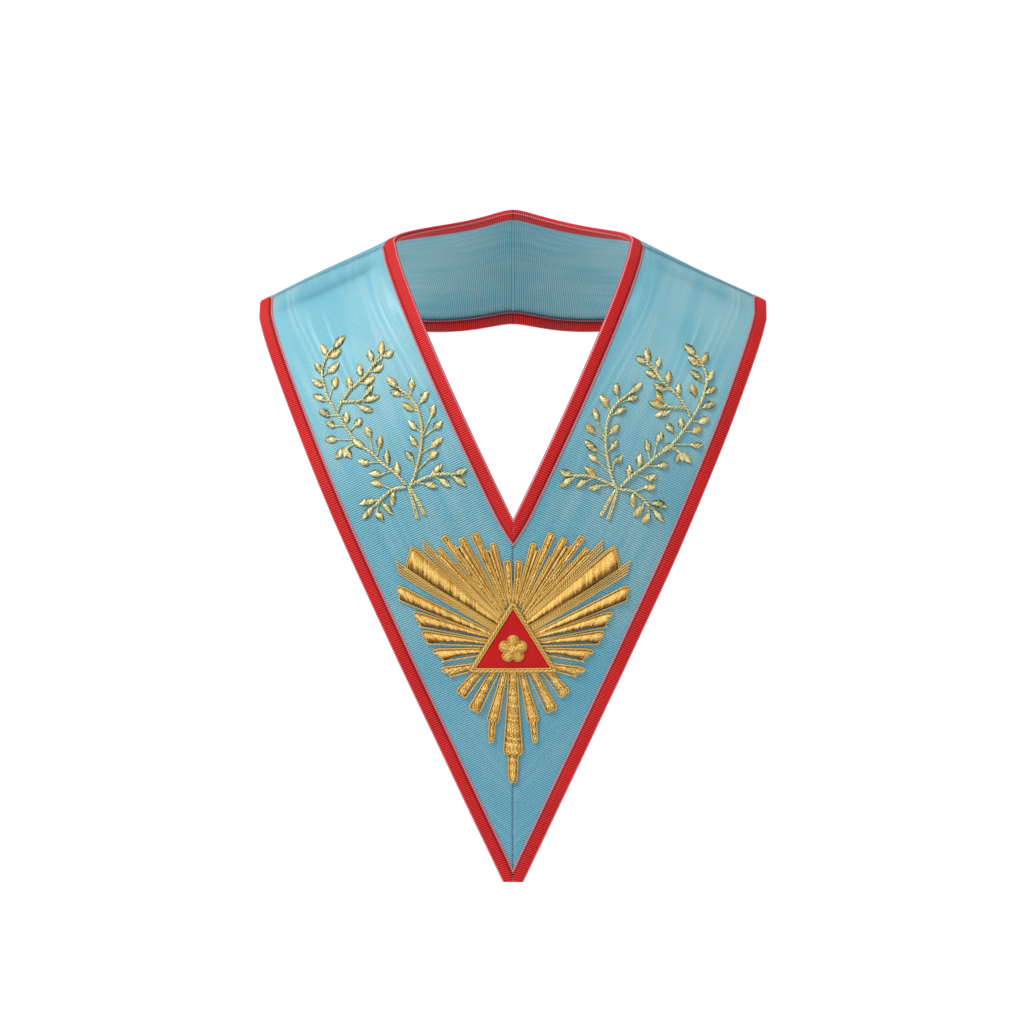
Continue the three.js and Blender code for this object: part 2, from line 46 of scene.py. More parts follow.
# The shape under the collar in metres: a shoulder line, and a chest and a back that fall from it
shape = {
    "neckSide": 0.077,
    "slope": 0.485,
    "rounding": 0.008,
    "chestDepth": 0.128,
    "chestNarrowing": 6.0,
    "chestHeight": 0.225,
    "backDepth": 0.122,
    "backHeight": 0.170,
}

# The ribbon's outline, with drops measured from the shoulder line
outline = {
    "neckHalf": 0.079,
    "notchDrop": 0.164,
    "shoulderHalf": 0.1735,
    "outerDrop": 0.431,
    "tipDrop": 0.415,
    "seamLean": 0.008,
    "napeBehind": 0.063,
    "seamGap": 0.00002,
}

# Soft unevenness of the worn cloth
drape = {
    "creaseLeft": 0.0026,
    "creaseRight": 0.0008,
    "creaseTurn": 0.135,
    "creaseWidth": 0.032,
    # the crease ends at the bindings: how far from the middle, and over what distance it fades
    "creaseOuter": (0.166, 0.03),
    "creaseInner": (0.088, 0.012),
    "wave": 0.00045,
    "seamDip": 0.0011,
    "seamReach": 0.0006,
}


def shoulderLine(x):
    top = math.hypot(shape["neckSide"], shape["rounding"])
    return shape["slope"] * (top - np.hypot(x, shape["rounding"]))


def bodyPoint(x, turn):
    # turn runs from 0 on the shoulder line to -1 where the chest is upright, and to 1 on the back
    angle = np.minimum(np.abs(turn), 1) * halfPi
    chestDepth = shape["chestNarrowing"] * np.abs(x) ** 3 - shape["chestDepth"]
    depth = np.where(turn < 0, chestDepth, shape["backDepth"])
    height = np.where(turn < 0, shape["chestHeight"], shape["backHeight"])
    drop = height * (1 - np.cos(angle)) + np.maximum(np.abs(turn) - 1, 0) * height
    return np.stack([x, depth * np.sin(angle), shoulderLine(x) - drop], axis=-1)


napeTurn = math.asin(outline["napeBehind"] / shape["backDepth"]) / halfPi
nape = bodyPoint(np.array(0.0), np.array(napeTurn))


def bell(value, middle, width):
    # 1 at the middle, falling off softly on both sides
    return np.exp(-(((value - middle) / width) ** 2))


def creaseDip(x, turn):
    # how far into the shoulder crease a place lies, from 0 to 1
    (outerEnd, outerFade), (innerEnd, innerFade) = drape["creaseOuter"], drape["creaseInner"]
    reach = np.abs(x)
    dip = bell(turn, -drape["creaseTurn"], drape["creaseWidth"])
    return dip * np.clip((outerEnd - reach) / outerFade, 0, 1) * np.clip((reach - innerEnd) / innerFade, 0, 1)


def unevenness(x, turn):
    crease = np.where(x < 0, drape["creaseLeft"], drape["creaseRight"])
    # two slow waves that cross each other
    swell = np.sin(x * 61 + turn * 5) * np.sin(turn * 11 - x * 23 + 0.7)
    return drape["wave"] * swell - crease * creaseDip(x, turn)


def unit(vectors):
    return vectors / np.linalg.norm(vectors, axis=-1, keepdims=True)


def lifted(x, turn, height):
    # a point of the worn cloth, raised off the body and moved into the part's own frame
    x, turn, height = np.broadcast_arrays(*(np.asarray(v, float) for v in (x, turn, height)))
    reach, swing = 0.0005, 0.002  # small steps that give the outward direction
    sideways = bodyPoint(x + reach, turn) - bodyPoint(x - reach, turn)
    around = bodyPoint(x, turn + swing) - bodyPoint(x, turn - swing)
    raised = height + unevenness(x, turn)
    return bodyPoint(x, turn) + unit(np.cross(sideways, around)) * raised[..., None] - nape


def turnForDrop(drop):
    curved = -np.arccos(np.clip(1 - drop / shape["chestHeight"], -1, 1)) / halfPi
    return np.where(drop >= shape["chestHeight"], -drop / shape["chestHeight"], curved)


def onChest(x, z, height):
    # a point by its place in the view from the front, with z measured from the shoulder line
    x, z, height = np.broadcast_arrays(*(np.asarray(v, float) for v in (x, z, height)))
    baseX, baseZ = x.copy(), z.copy()
    for _ in range(3):
        turn = turnForDrop(np.maximum(shoulderLine(baseX) - baseZ, 1e-5))
        point = lifted(baseX, turn, height)
        baseX = baseX + x - point[..., 0]
        baseZ = baseZ + z - point[..., 2] - nape[2]
    return point


# Rows across the ribbon
rowPoints = 41
rowSteps = {
    # shares of the way from the shoulder seam to the first row on the chest
    "nearSeam": [0, 0.012, 0.03, 0.05, 0.075, 0.1, 0.125, 0.15, 0.175, 0.22],
    "towardsChest": (0.3, 0.92, 8),
    "firstChest": 0.15,
    "lastChest": 2.12,
    "chest": 0.012,
    # shares of the way from the shoulder seam to the centre back
    "nearBack": [0, 0.003, 0.007, 0.014],
    "back": 44,
}


def lengths(path):
    # how far along a path each of its points lies
    return np.concatenate([[0], np.cumsum(np.linalg.norm(np.diff(path, axis=0), axis=1))])


def rowOf(x, turn, width=None):
    along = lengths(bodyPoint(x, turn))
    return {"x": x, "turn": turn, "along": along, "width": along[-1] if width is None else width}


def edgeAcross(halfWidth, meetingDrop, turn):
    # how far out an edge that is straight in the view from the front lies on the chest at this turn
    lean = halfWidth / (shoulderLine(halfWidth) + meetingDrop)
    drop = shape["chestHeight"] * (1 - math.cos(min(-turn, 1) * halfPi) + max(-turn - 1, 0))
    x = halfWidth
    for _ in range(40):  # each step comes closer
        x = (shoulderLine(x) - drop + meetingDrop) * lean
    return float(x)


def chestRow(turn):
    inner = edgeAcross(outline["neckHalf"], outline["notchDrop"], turn)
    outer = edgeAcross(outline["shoulderHalf"], outline["outerDrop"], turn)
    return rowOf(np.linspace(inner, outer, rowPoints), np.full(rowPoints, turn))


def levelRow(x, y, heading, width):
    # a row that runs straight over the shoulders as seen from above
    walked = np.arange(0, width * 1.5, 0.002)
    px = x + walked * math.cos(heading)
    py = y + walked * math.sin(heading)
    front = shape["chestDepth"] - shape["chestNarrowing"] * np.abs(px) ** 3
    depth = np.where(py < 0, front, shape["backDepth"])
    return rowOf(px, np.arcsin(np.clip(py / depth, -1, 1)) / halfPi, width)


# the width high on the chest, which the ribbon keeps over the shoulders and round the nape
ribbonWidth = chestRow(-0.12)["width"]
seamHeading = math.atan2(2 * outline["seamLean"], outline["shoulderHalf"] - outline["neckHalf"])


def shoulderRow(shift):
    return levelRow(outline["neckHalf"], shift - outline["seamLean"], seamHeading, ribbonWidth)


def placesOn(row, across):
    return np.interp(across, row["along"], row["x"]), np.interp(across, row["along"], row["turn"])


def mixed(first, second, part):
    # part of the way between two rows, at the same share of their widths
    share = np.linspace(0, 1, rowPoints)
    placesA = placesOn(first, share * first["width"])
    placesB = placesOn(second, share * second["width"])
    x, turn = ((1 - part) * a + part * b for a, b in zip(placesA, placesB))
    return rowOf(x, turn)


def frontRows():
    first, second = shoulderRow(-outline["seamGap"]), chestRow(-rowSteps["firstChest"])
    parts = rowSteps["nearSeam"] + list(np.linspace(*rowSteps["towardsChest"]))
    rows = [mixed(first, second, part) for part in parts]
    turns = np.arange(rowSteps["firstChest"], rowSteps["lastChest"], rowSteps["chest"])
    return rows + [chestRow(-turn) for turn in turns]


def backRows():
    rows = []
    count = rowSteps["back"]
    for part in rowSteps["nearBack"] + [i / count for i in range(1, count + 1)]:
        angle = part * halfPi
        x = outline["neckHalf"] * math.cos(angle)
        y = (outline["napeBehind"] + outline["seamLean"]) * math.sin(angle) - outline["seamLean"]
        heading = seamHeading + (halfPi - seamHeading) * part
        shift = outline["seamGap"] * (1 - part)
        rows.append(levelRow(x, y + shift, heading, ribbonWidth))
    return rows


# Mesh helpers

def makeMesh(name, points, faces, weave=None):
    mesh = bpy.data.meshes.new(name)
    mesh.from_pydata(np.asarray(points).tolist(), [], faces)
    if weave is not None:
        layer = mesh.uv_layers.new(name="weave")
        corners = np.empty(len(mesh.loops), dtype=np.int64)
        mesh.loops.foreach_get("vertex_index", corners)
        layer.data.foreach_set("uv", np.asarray(weave, float)[corners].ravel())
    mesh.polygons.foreach_set("use_smooth", [True] * len(mesh.polygons))
    mesh.update()
    piece = bpy.data.objects.new(name, mesh)
    bpy.context.scene.collection.objects.link(piece)
    return piece


def inEditMode(piece, action):
    bpy.ops.object.select_all(action="DESELECT")
    bpy.context.view_layer.objects.active = piece
    piece.select_set(True)
    bpy.ops.object.mode_set(mode="EDIT")
    bpy.ops.mesh.select_all(action="SELECT")
    action()
    bpy.ops.object.mode_set(mode="OBJECT")
    piece.select_set(False)


def cutAt(piece, place, normal, clear, fill=False):
    def cut():
        bpy.ops.mesh.bisect(plane_co=place, plane_no=normal, clear_inner=clear, use_fill=fill)
    inEditMode(piece, cut)


def facingOut(piece):
    inEditMode(piece, lambda: bpy.ops.mesh.normals_make_consistent(inside=False))


def applyModifier(piece, kind, **settings):
    modifier = piece.modifiers.new(kind.title(), kind)
    for key, value in settings.items():
        setattr(modifier, key, value)
    bpy.ops.object.select_all(action="DESELECT")
    bpy.context.view_layer.objects.active = piece
    piece.select_set(True)
    bpy.ops.object.modifier_apply(modifier=modifier.name)
    piece.select_set(False)


def gridFaces(rows, columns, wrap=False, start=0):
    here = np.arange(rows - 1)[:, None] * columns
    there = here + columns
    c = np.arange(columns if wrap else columns - 1)[None, :]
    nextC = (c + 1) % columns
    quads = np.stack([here + c, here + nextC, there + nextC, there + c], -1)
    return (quads.reshape(-1, 4) + start).tolist()


def toned(piece, values):
    # how light each point of the thread is, from 0 to 1, painted light and shade included; on the ribbon, how
    # much painted shade it takes
    layer = piece.data.attributes.new("tone", "FLOAT", "POINT")
    layer.data.foreach_set("value", np.broadcast_to(values, len(piece.data.vertices)).astype(np.float32))


class Heap:
    # gathers many small closed solids into one mesh
    def __init__(self):
        self.points, self.faces, self.weave, self.tones, self.count = [], [], [], [], 0

    def addTube(self, rings, weave, closed=False, tone=0.5):
        rows, columns = rings.shape[:2]
        self.faces += gridFaces(rows, columns, True, self.count)
        if closed:
            last = self.count + (rows - 1) * columns
            for c in range(columns):
                n = (c + 1) % columns
                self.faces.append([last + c, last + n, self.count + n, self.count + c])
        else:
            self.faces.append([self.count + c for c in range(columns)][::-1])
            self.faces.append([self.count + (rows - 1) * columns + c for c in range(columns)])
        self.points.append(rings.reshape(-1, 3))
        self.weave.append(weave.reshape(-1, 2))
        self.tones.append(np.broadcast_to(tone, (rows, columns)).reshape(-1))
        self.count += rows * columns

    def piece(self, name):
        made = makeMesh(name, np.concatenate(self.points), self.faces, np.concatenate(self.weave))
        toned(made, np.concatenate(self.tones))
        facingOut(made)
        return made


def finished(piece, material, slot, *nodes):
    piece.data.materials.clear()
    piece.data.materials.append(material)
    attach(piece, "root")
    if nodes:
        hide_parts(*nodes)
    return piece


# Material helpers

class Nodes:
    # a short way to write a node material
    def __init__(self, name):
        self.material = bpy.data.materials.new(name)
        self.material.use_nodes = True
        self.tree = self.material.node_tree
        self.shader = self.tree.nodes["Principled BSDF"]

    def link(self, value, socket):
        if isinstance(value, bpy.types.NodeSocket):
            self.tree.links.new(value, socket)
        else:
            socket.default_value = value

    def math(self, operation, first, second=0.0, third=0.0):
        node = self.tree.nodes.new("ShaderNodeMath")
        node.operation = operation
        for value, socket in zip((first, second, third), node.inputs):
            self.link(value, socket)
        return node.outputs[0]

    def times(self, first, second):
        return self.math("MULTIPLY", first, second)

    def plus(self, first, second):
        return self.math("ADD", first, second)

    def scaled(self, value, factor, offset):
        return self.math("MULTIPLY_ADD", value, factor, offset)

    def place(self, source):
        if source == "tone":
            node = self.tree.nodes.new("ShaderNodeAttribute")
            node.attribute_name = "tone"
            return node.outputs["Fac"]
        if source == "weave":
            node = self.tree.nodes.new("ShaderNodeUVMap")
            node.uv_map = "weave"
            return node.outputs["UV"]
        return self.tree.nodes.new("ShaderNodeTexCoord").outputs["Object"]

    def split(self, vector):
        node = self.tree.nodes.new("ShaderNodeSeparateXYZ")
        self.link(vector, node.inputs[0])
        return node.outputs

    def joined(self, x, y, z=0.0):
        node = self.tree.nodes.new("ShaderNodeCombineXYZ")
        for value, socket in zip((x, y, z), node.inputs):
            self.link(value, socket)
        return node.outputs[0]

    def noise(self, vector, scale, detail=3.0, roughness=0.5):
        node = self.tree.nodes.new("ShaderNodeTexNoise")
        self.link(vector, node.inputs["Vector"])
        node.inputs["Scale"].default_value = scale
        node.inputs["Detail"].default_value = detail
        node.inputs["Roughness"].default_value = roughness
        return node.outputs["Fac"]

    def woven(self, across, along, perMetre, detail=1.0, roughness=0.5, layer=0.0):
        # noise on the flat cloth, with its own scale across and along it
        place = self.joined(self.times(across, perMetre[0]), self.times(along, perMetre[1]), layer)
        return self.noise(place, 1.0, detail, roughness)

    def ramp(self, value, low, high):
        # 0 below low, 1 above high, soft between
        node = self.tree.nodes.new("ShaderNodeMapRange")
        node.interpolation_type = "SMOOTHSTEP"
        self.link(value, node.inputs["Value"])
        node.inputs["From Min"].default_value = low
        node.inputs["From Max"].default_value = high
        return node.outputs["Result"]

    def mix(self, part, first, second):
        node = self.tree.nodes.new("ShaderNodeMix")
        node.data_type = "RGBA"
        self.link(part, node.inputs[0])
        self.link(first, node.inputs[6])
        self.link(second, node.inputs[7])
        return node.outputs[2]

    def bump(self, height, strength, distance):
        node = self.tree.nodes.new("ShaderNodeBump")
        self.link(height, node.inputs["Height"])
        node.inputs["Strength"].default_value = strength
        node.inputs["Distance"].default_value = distance
        self.tree.links.new(node.outputs["Normal"], self.shader.inputs["Normal"])

    def finish(self, color, roughness, **constants):
        self.link(color, self.shader.inputs["Base Color"])
        self.link(roughness, self.shader.inputs["Roughness"])
        for key, value in constants.items():
            self.shader.inputs[key].default_value = value
        return self.material


def shade(red, green, blue):
    # a colour as it looks on a screen, 0 to 255, made linear
    made = []
    for value in (red, green, blue):
        value /= 255
        made.append(value / 12.92 if value <= 0.04045 else ((value + 0.055) / 1.055) ** 2.4)
    return (*made, 1.0)


ribbonLook = {
    "pitch": 0.00142,
    "pale": shade(140, 190, 199),
    "middle": shade(109, 177, 194),
    # painted shade: the ribbon turns a darker, deeper blue towards the tip
    "low": shade(92, 168, 196),
    "tipShadeFrom": (0.2, 0.46),
    # the colour of the painted shade in the seams and the shoulder crease
    "seam": shade(38, 104, 134),
    "deep": shade(24, 84, 108),
    "streak": shade(186, 228, 236),
    # the watered figure fades out here, in metres from the shoulder
    "figureEnd": (0.08, 0.2),
    "figureLines": 620.0,
    "figureBends": 46.0,
    "figureStrength": 0.2,
    "ribShade": -1.25,
    "flatRibs": -0.62,
    "tipShadeShare": 0.6,
    "seamShade": 0.75,
    "relief": 0.00022,
}


def ribbonMaterial():
    n = Nodes("wateredRibbon")
    across, along, _ = n.split(n.place("weave"))
    wobble = n.woven(across, along, (70.0, 40.0))
    phase = n.scaled(along, 2 * math.pi / ribbonLook["pitch"], n.times(wobble, 1.6))
    rib = n.scaled(n.math("SINE", phase), 0.5, 0.5)
    # watered figure: long thin contour lines that run along the ribbon
    slow = n.woven(across, along, (42.0, 5.0), 1.5, 0.4)
    bends = n.times(slow, ribbonLook["figureBends"])
    contour = n.math("SINE", n.scaled(across, ribbonLook["figureLines"], bends))
    where = n.woven(across, along, (30.0, 11.0), layer=3.7)
    figure = n.times(n.ramp(contour, -0.2, 1.0), n.ramp(where, 0.36, 0.7))
    upper = n.math("SUBTRACT", 1.0, n.ramp(along, *ribbonLook["figureEnd"]))
    figure = n.times(figure, n.scaled(upper, 0.8, 0.2))
    fine = n.woven(across, along, (900.0, 700.0), 2.0)
    band = n.woven(across, along, (110.0, 9.0), 2.0, layer=1.3)
    cloud = n.scaled(n.noise(n.place("object"), 14.0, 2.0), 0.6, n.times(band, 0.4))
    tone = n.mix(n.ramp(cloud, 0.36, 0.64), ribbonLook["middle"], ribbonLook["pale"])
    # painted shade, darker and deeper blue towards the tip
    lower = n.times(n.ramp(along, *ribbonLook["tipShadeFrom"]), ribbonLook["tipShadeShare"])
    tone = n.mix(lower, tone, ribbonLook["low"])
    # the ribs press flat near the shoulder, where the figure is
    depth = n.scaled(upper, ribbonLook["flatRibs"], 1.0)
    # painted shade in the grooves between the ribs, less where the ribs press flat
    dark = n.scaled(rib, ribbonLook["ribShade"], n.scaled(fine, 1.0, 0.3))
    ribbed = n.mix(n.times(dark, depth), tone, ribbonLook["deep"])
    color = n.mix(n.times(figure, ribbonLook["figureStrength"]), ribbed, ribbonLook["streak"])
    # painted shade in the seams and the shoulder crease, carried in the tone
    color = n.mix(n.times(n.place("tone"), ribbonLook["seamShade"]), color, ribbonLook["seam"])
    relief = n.times(n.times(rib, depth), n.scaled(figure, -0.5, 1.0))
    n.bump(n.plus(relief, n.times(fine, 0.3)), 1.0, ribbonLook["relief"])
    gloss = {"Sheen Weight": 0.12, "Sheen Roughness": 0.4, "Specular IOR Level": 0.3}
    return n.finish(color, n.scaled(figure, -0.10, 0.52), **gloss)


bindingLook = {
    "pitch": 0.0015,
    "bright": shade(232, 34, 34),
    "deep": shade(104, 2, 8),
    "selvage": shade(226, 146, 156),
    "shadow": shade(40, 2, 16),
    # where these lines begin and end, in metres from the fold
    # the painted shadow line in the groove inside the edge on the ribbon
    "shadowLine": (0.0072, 0.0080),
    "innerEdge": (0.0089, 0.0095),
    "outerEdge": [(0.0001, 0.0004), (0.0008, 0.0013)],
    "relief": 0.00015,
}


def bindingMaterial():
    n = Nodes("redGrosgrain")
    across, along, _ = n.split(n.place("weave"))
    phase = n.times(along, 2 * math.pi / bindingLook["pitch"])
    rib = n.scaled(n.math("COSINE", phase), -0.5, 0.5)
    fine = n.woven(across, along, (900.0, 900.0), 2.0)
    patch = n.noise(n.place("object"), 30.0, 2.0)
    part = n.scaled(n.plus(fine, patch), 0.5, -0.45)
    # painted shade: the ribs' grooves darker, their tops lighter
    part = n.plus(part, n.scaled(rib, 1.5, -0.18))
    color = n.mix(part, bindingLook["deep"], bindingLook["bright"])
    # a paler woven edge on both sides, and inside the one on the ribbon a dark line of painted shadow in the
    # groove beside the raised tape
    line = n.ramp(across, *bindingLook["shadowLine"])
    color = n.mix(n.times(line, n.scaled(rib, -0.2, 0.55)), color, bindingLook["shadow"])
    inner = n.ramp(across, *bindingLook["innerEdge"])
    outer = n.math("SUBTRACT", *(n.ramp(across, *ends) for ends in bindingLook["outerEdge"]))
    pale = n.scaled(rib, 0.5, 0.4)
    color = n.mix(n.times(n.math("MAXIMUM", inner, outer), pale), color, bindingLook["selvage"])
    n.bump(n.plus(rib, n.times(fine, 0.5)), 0.8, bindingLook["relief"])
    return n.finish(color, 0.58, **{"Sheen Weight": 0.05, "Sheen Roughness": 0.5, "Specular IOR Level": 0.2})


# thread: grain says how much single strands differ, and speckle how fine they are
goldLook = {
    "bright": shade(254, 222, 136),
    "middle": shade(208, 154, 60),
    "deep": shade(104, 68, 14),
    "metallic": 0.25,
    "roughness": 0.38,
    "grain": 1.0,
    "speckle": 1150.0,
}
goldCordLook = {
    "bright": shade(250, 220, 134),
    "middle": shade(206, 156, 66),
    "deep": shade(88, 58, 12),
    "metallic": 0.2,
    "roughness": 0.4,
    "grain": 0.5,
    "speckle": 1800.0,
}
sprigLook = {
    "bright": shade(244, 238, 190),
    "middle": shade(178, 172, 116),
    "deep": shade(70, 74, 36),
    "warm": shade(226, 184, 100),
    "metallic": 0.12,
    "roughness": 0.44,
    "grain": 1.7,
    "speckle": 850.0,
}
threadRelief = 0.00025


def threadMaterial(name, look):
    n = Nodes(name)
    object3d = n.place("object")
    grain = n.noise(object3d, look["speckle"], 2.0, 0.6)
    patch = n.noise(object3d, 70.0, 2.0)
    # the tone brings the stitches' painted light and shade
    light = n.plus(n.place("tone"), n.scaled(grain, look["grain"], -0.5 * look["grain"]))
    light = n.plus(light, n.scaled(patch, 0.14, -0.07))
    color = n.mix(n.ramp(light, 0.02, 0.52), look["deep"], look["middle"])
    color = n.mix(n.ramp(light, 0.48, 0.95), color, look["bright"])
    if "warm" in look:
        warmth = n.times(n.ramp(n.noise(object3d, 90.0, 1.0), 0.5, 0.7), 0.5)
        color = n.mix(warmth, color, look["warm"])
    n.bump(n.plus(grain, n.noise(object3d, look["speckle"] * 2.2, 1.0)), 0.7, threadRelief)
    rough = n.scaled(grain, 0.2, look["roughness"])
    return n.finish(color, rough, **{"Metallic": look["metallic"], "Specular IOR Level": 0.4})


satinLook = {"bright": shade(206, 18, 20), "deep": shade(150, 4, 8), "relief": 0.00008}


def satinMaterial():
    n = Nodes("redSatin")
    x, _, z = n.split(n.place("object"))
    threads = n.woven(x, z, (300.0, 2600.0), 2.0)
    patch = n.noise(n.place("object"), 60.0, 1.0)
    light = n.scaled(threads, 0.6, n.times(patch, 0.5))
    color = n.mix(light, satinLook["deep"], satinLook["bright"])
    n.bump(threads, 0.35, satinLook["relief"])
    return n.finish(color, 0.42, **{"Sheen Weight": 0.02, "Specular IOR Level": 0.16})


materials = {
    "ribbon": ribbonMaterial(),
    "binding": bindingMaterial(),
    "gold": threadMaterial("goldThread", goldLook),
    "goldCord": threadMaterial("paleGoldCord", goldCordLook),
    "sprig": threadMaterial("greenGoldThread", sprigLook),
    "satin": satinMaterial(),
}
print("materials made")

# The ribbon: four curved sheets, seamed on the shoulders, at the centre front and at the nape
ribbon = {
    "top": 0.0025,
    "thickness": 0.0012,
    "inset": 0.0013,
    "columns": 44,
    # extra edges beside the middle seams, so that the cloth can dip there
    "seamCuts": [0.0004, 0.0008, 0.0014, 0.0022],
    "seamDipEnd": 0.004,
    # lines beside the shoulder seam, by strength, distance and width: what dips, and what is painted dark as
    # shade
    "dips": [(1.0, 0.0, drape["seamReach"]), (0.3, 0.0024, 0.0006)],
    "shades": [(1.0, 0.0, 0.001), (0.8, 0.0036, 0.0007)],
    # the shade in the shoulder crease, which lies a little lower than the crease
    "creaseShade": {"left": 0.6, "right": 0.25},
    "creaseShadeShift": 0.008,
    # the ribs are square to the edges at this turn
    "squareTurn": -0.8,
}


def ribbonGrid(rows):
    share = np.linspace(0, 1, ribbon["columns"])
    across = [ribbon["inset"] + share * (row["width"] - 2 * ribbon["inset"]) for row in rows]
    x, turn = np.array([placesOn(*pair) for pair in zip(rows, across)]).transpose(1, 0, 2)
    return x, turn, np.array(across)


def lengthAlong(x, turn):
    steps = np.linalg.norm(np.diff(bodyPoint(x, turn), axis=0), axis=2)
    return np.concatenate([np.zeros((1, x.shape[1])), np.cumsum(steps, axis=0)])


def squaredUp(x, turn, along):
    # moves each column's count so that the ribs stand square to the ribbon's edges
    row = int(np.argmin(np.abs(turn[:, 0] - ribbon["squareTurn"])))
    points = bodyPoint(x, turn)
    heading = unit((points[row + 1] - points[row]).mean(axis=0))
    ahead = (points[row] - points[row, 0]) @ heading
    return along + (ahead - (along[row] - along[row, 0]))[None, :]


def besideSeam(fromSeam, lines):
    return sum(strength * bell(fromSeam, place, width) for strength, place, width in lines)


def makeRibbon(part, word, rows, side):
    front = part == "front"
    x, turn, across = ribbonGrid(rows)
    fromSeam = lengthAlong(x, turn)
    if front:
        along = squaredUp(x, turn, fromSeam)
    else:
        along = np.repeat(fromSeam[:, ribbon["columns"] // 2, None], ribbon["columns"], 1)
    dip = drape["seamDip"] * besideSeam(fromSeam, ribbon["dips"])
    points = lifted(side * x, turn, ribbon["top"] - dip)
    # painted shade beside the shoulder seam and in the shoulder crease, kept in the tone
    shadow = besideSeam(fromSeam, ribbon["shades"])
    if front:
        shadow = shadow + creaseDip(x, turn - ribbon["creaseShadeShift"]) * ribbon["creaseShade"][word]
    weave = np.stack([across, along], axis=-1).reshape(-1, 2)
    faces = gridFaces(*x.shape)
    if side > 0:
        faces = [face[::-1] for face in faces]
    made = makeMesh(f"{part}_ribbon_{word}", points.reshape(-1, 3), faces, weave)
    toned(made, np.clip(shadow, 0, 1).reshape(-1))
    for away in [0.0] + ribbon["seamCuts"]:
        cutAt(made, (side * (away + outline["seamGap"]), 0, 0), (side, 0, 0), away == 0)
    if front:
        bottom = -outline["tipDrop"] + ribbon["inset"] - nape[2]
        cutAt(made, (0, 0, bottom), (0, 0, 1), True)
    for vertex in made.data.vertices:
        away = abs(vertex.co.x) - outline["seamGap"]
        if away < ribbon["seamDipEnd"]:
            fall = drape["seamDip"] * bell(away, 0.0, drape["seamReach"])
            vertex.co.y += fall if front else -fall
    applyModifier(made, "SOLIDIFY", thickness=ribbon["thickness"], offset=-1.0)
    return finished(made, materials["ribbon"], "blue_ribbon", f"{part}_panel_{word}")


sides = [("right", 1), ("left", -1)]
ribbonRows = {"front": frontRows(), "back": backRows()}
for word, side in sides:
    for part, rows in ribbonRows.items():
        makeRibbon(part, word, rows, side)
print("ribbons made")

# The binding: grosgrain folded over each edge, with its ribs standing up
tape = {
    "ribStep": bindingLook["pitch"] / 4,
    "ribRelief": 0.00016,
    # distance from the ribbon's edge and height over the body: under the ribbon, round the fold, over
    # the ribbon to a low lip, and back along the inside
    "profile": [
        (0.0100, 0.0006), (0.0052, 0.0005), (0.0014, 0.0003), (0.0005, 0.0006), (0.0001, 0.0012),
        (0.0, 0.0019), (0.0001, 0.0027), (0.0005, 0.0034), (0.0012, 0.0037), (0.0022, 0.0037),
        (0.0052, 0.0037), (0.0072, 0.0037), (0.0078, 0.0034), (0.0083, 0.0028), (0.0090, 0.0028),
        (0.0096, 0.0030), (0.0101, 0.0030), (0.0103, 0.0028), (0.0102, 0.0026), (0.0066, 0.0026),
        (0.0016, 0.0026), (0.0010, 0.0019), (0.0016, 0.0012), (0.0066, 0.0012), (0.0101, 0.0012),
    ],
    # the first points are on the outside, where the ribs stand up, and one of them is the fold
    "outerPoints": 17,
    "foldPoint": 5,
}


def resampled(values, along, spacing):
    count = max(2, int(round(along[-1] / spacing)) + 1)
    wanted = np.linspace(0, along[-1], count)
    flat = values.reshape(len(along), -1)
    made = np.stack([np.interp(wanted, along, flat[:, i]) for i in range(flat.shape[1])], axis=1)
    return made.reshape(count, *values.shape[1:]), wanted


def makeBinding(part, edge, word, rows, side):
    profile = np.array(tape["profile"])
    across, height = profile.T
    places = [placesOn(row, across if edge == "inner" else row["width"] - across) for row in rows]
    x, turn = np.array(places).transpose(1, 0, 2)
    along = lengthAlong(x, turn)[:, tape["foldPoint"]]
    both, wanted = resampled(np.stack([x, turn], axis=-1), along, tape["ribStep"])
    rib = 0.5 - 0.5 * np.cos(2 * math.pi * wanted / bindingLook["pitch"])
    outward = np.sign(height - height[tape["foldPoint"]])
    outward[tape["outerPoints"]:] = 0
    ribbed = height + tape["ribRelief"] * rib[:, None] * outward
    points = lifted(side * both[..., 0], both[..., 1], ribbed)
    heap = Heap()
    heap.addTube(points, np.stack(np.broadcast_arrays(across, wanted[:, None]), axis=-1))
    made = heap.piece(f"{part}_{edge}_tape_{word}")
    cutAt(made, (side * outline["seamGap"], 0, 0), (side, 0, 0), True, True)
    if part == "front" and edge == "outer":
        cutAt(made, (0, 0, -outline["tipDrop"] - nape[2]), (0, 0, 1), True, True)
    facingOut(made)
    return finished(made, materials["binding"], "red_binding", f"{part}_{edge}_binding_{word}")


for word, side in sides:
    for part, rows in ribbonRows.items():
        [makeBinding(part, edge, word, rows, side) for edge in ("inner", "outer")]
print("bindings made")

# Twisted cords and padded stitches, laid on the chest in the view from the front
stitches = {
    "pitch": 0.0014,
    "depth": 0.00028,
    "lean": 0.7,
    "jitter": 0.0002,
    "bead": 0.0015,
    "base": 0.0025,
    "roundness": 0.75,
    "lightness": 0.56,
    # how much the tone changes within a thread, as painted shade between threads, and at random from thread
    # to thread
    "tones": (0.3, 0.22),
    # knotted threads wander, and a knot this high is painted a whole tone lighter, as painted light on its
    # top
    "nubWander": 0.35,
    "nubWaves": (0.0029, 0.0047),
    "nubLean": 0.15,
    "nubLightness": 0.62,
    "nubTones": (0.15, 0.4),
    "nubTone": 0.0009,
    # painted shade: the lower flank is darker, as in the shade of the crest, and a painted sheen lightens the
    # upper flank
    "shading": 0.42,
    "shadeFrom": 0.56,
    "shadeOver": 0.16,
    "sheen": 0.2,
    # how many threads differ before they repeat, and how long the shaped end of a ray is
    "threads": 997,
    "tipReach": 0.012,
}
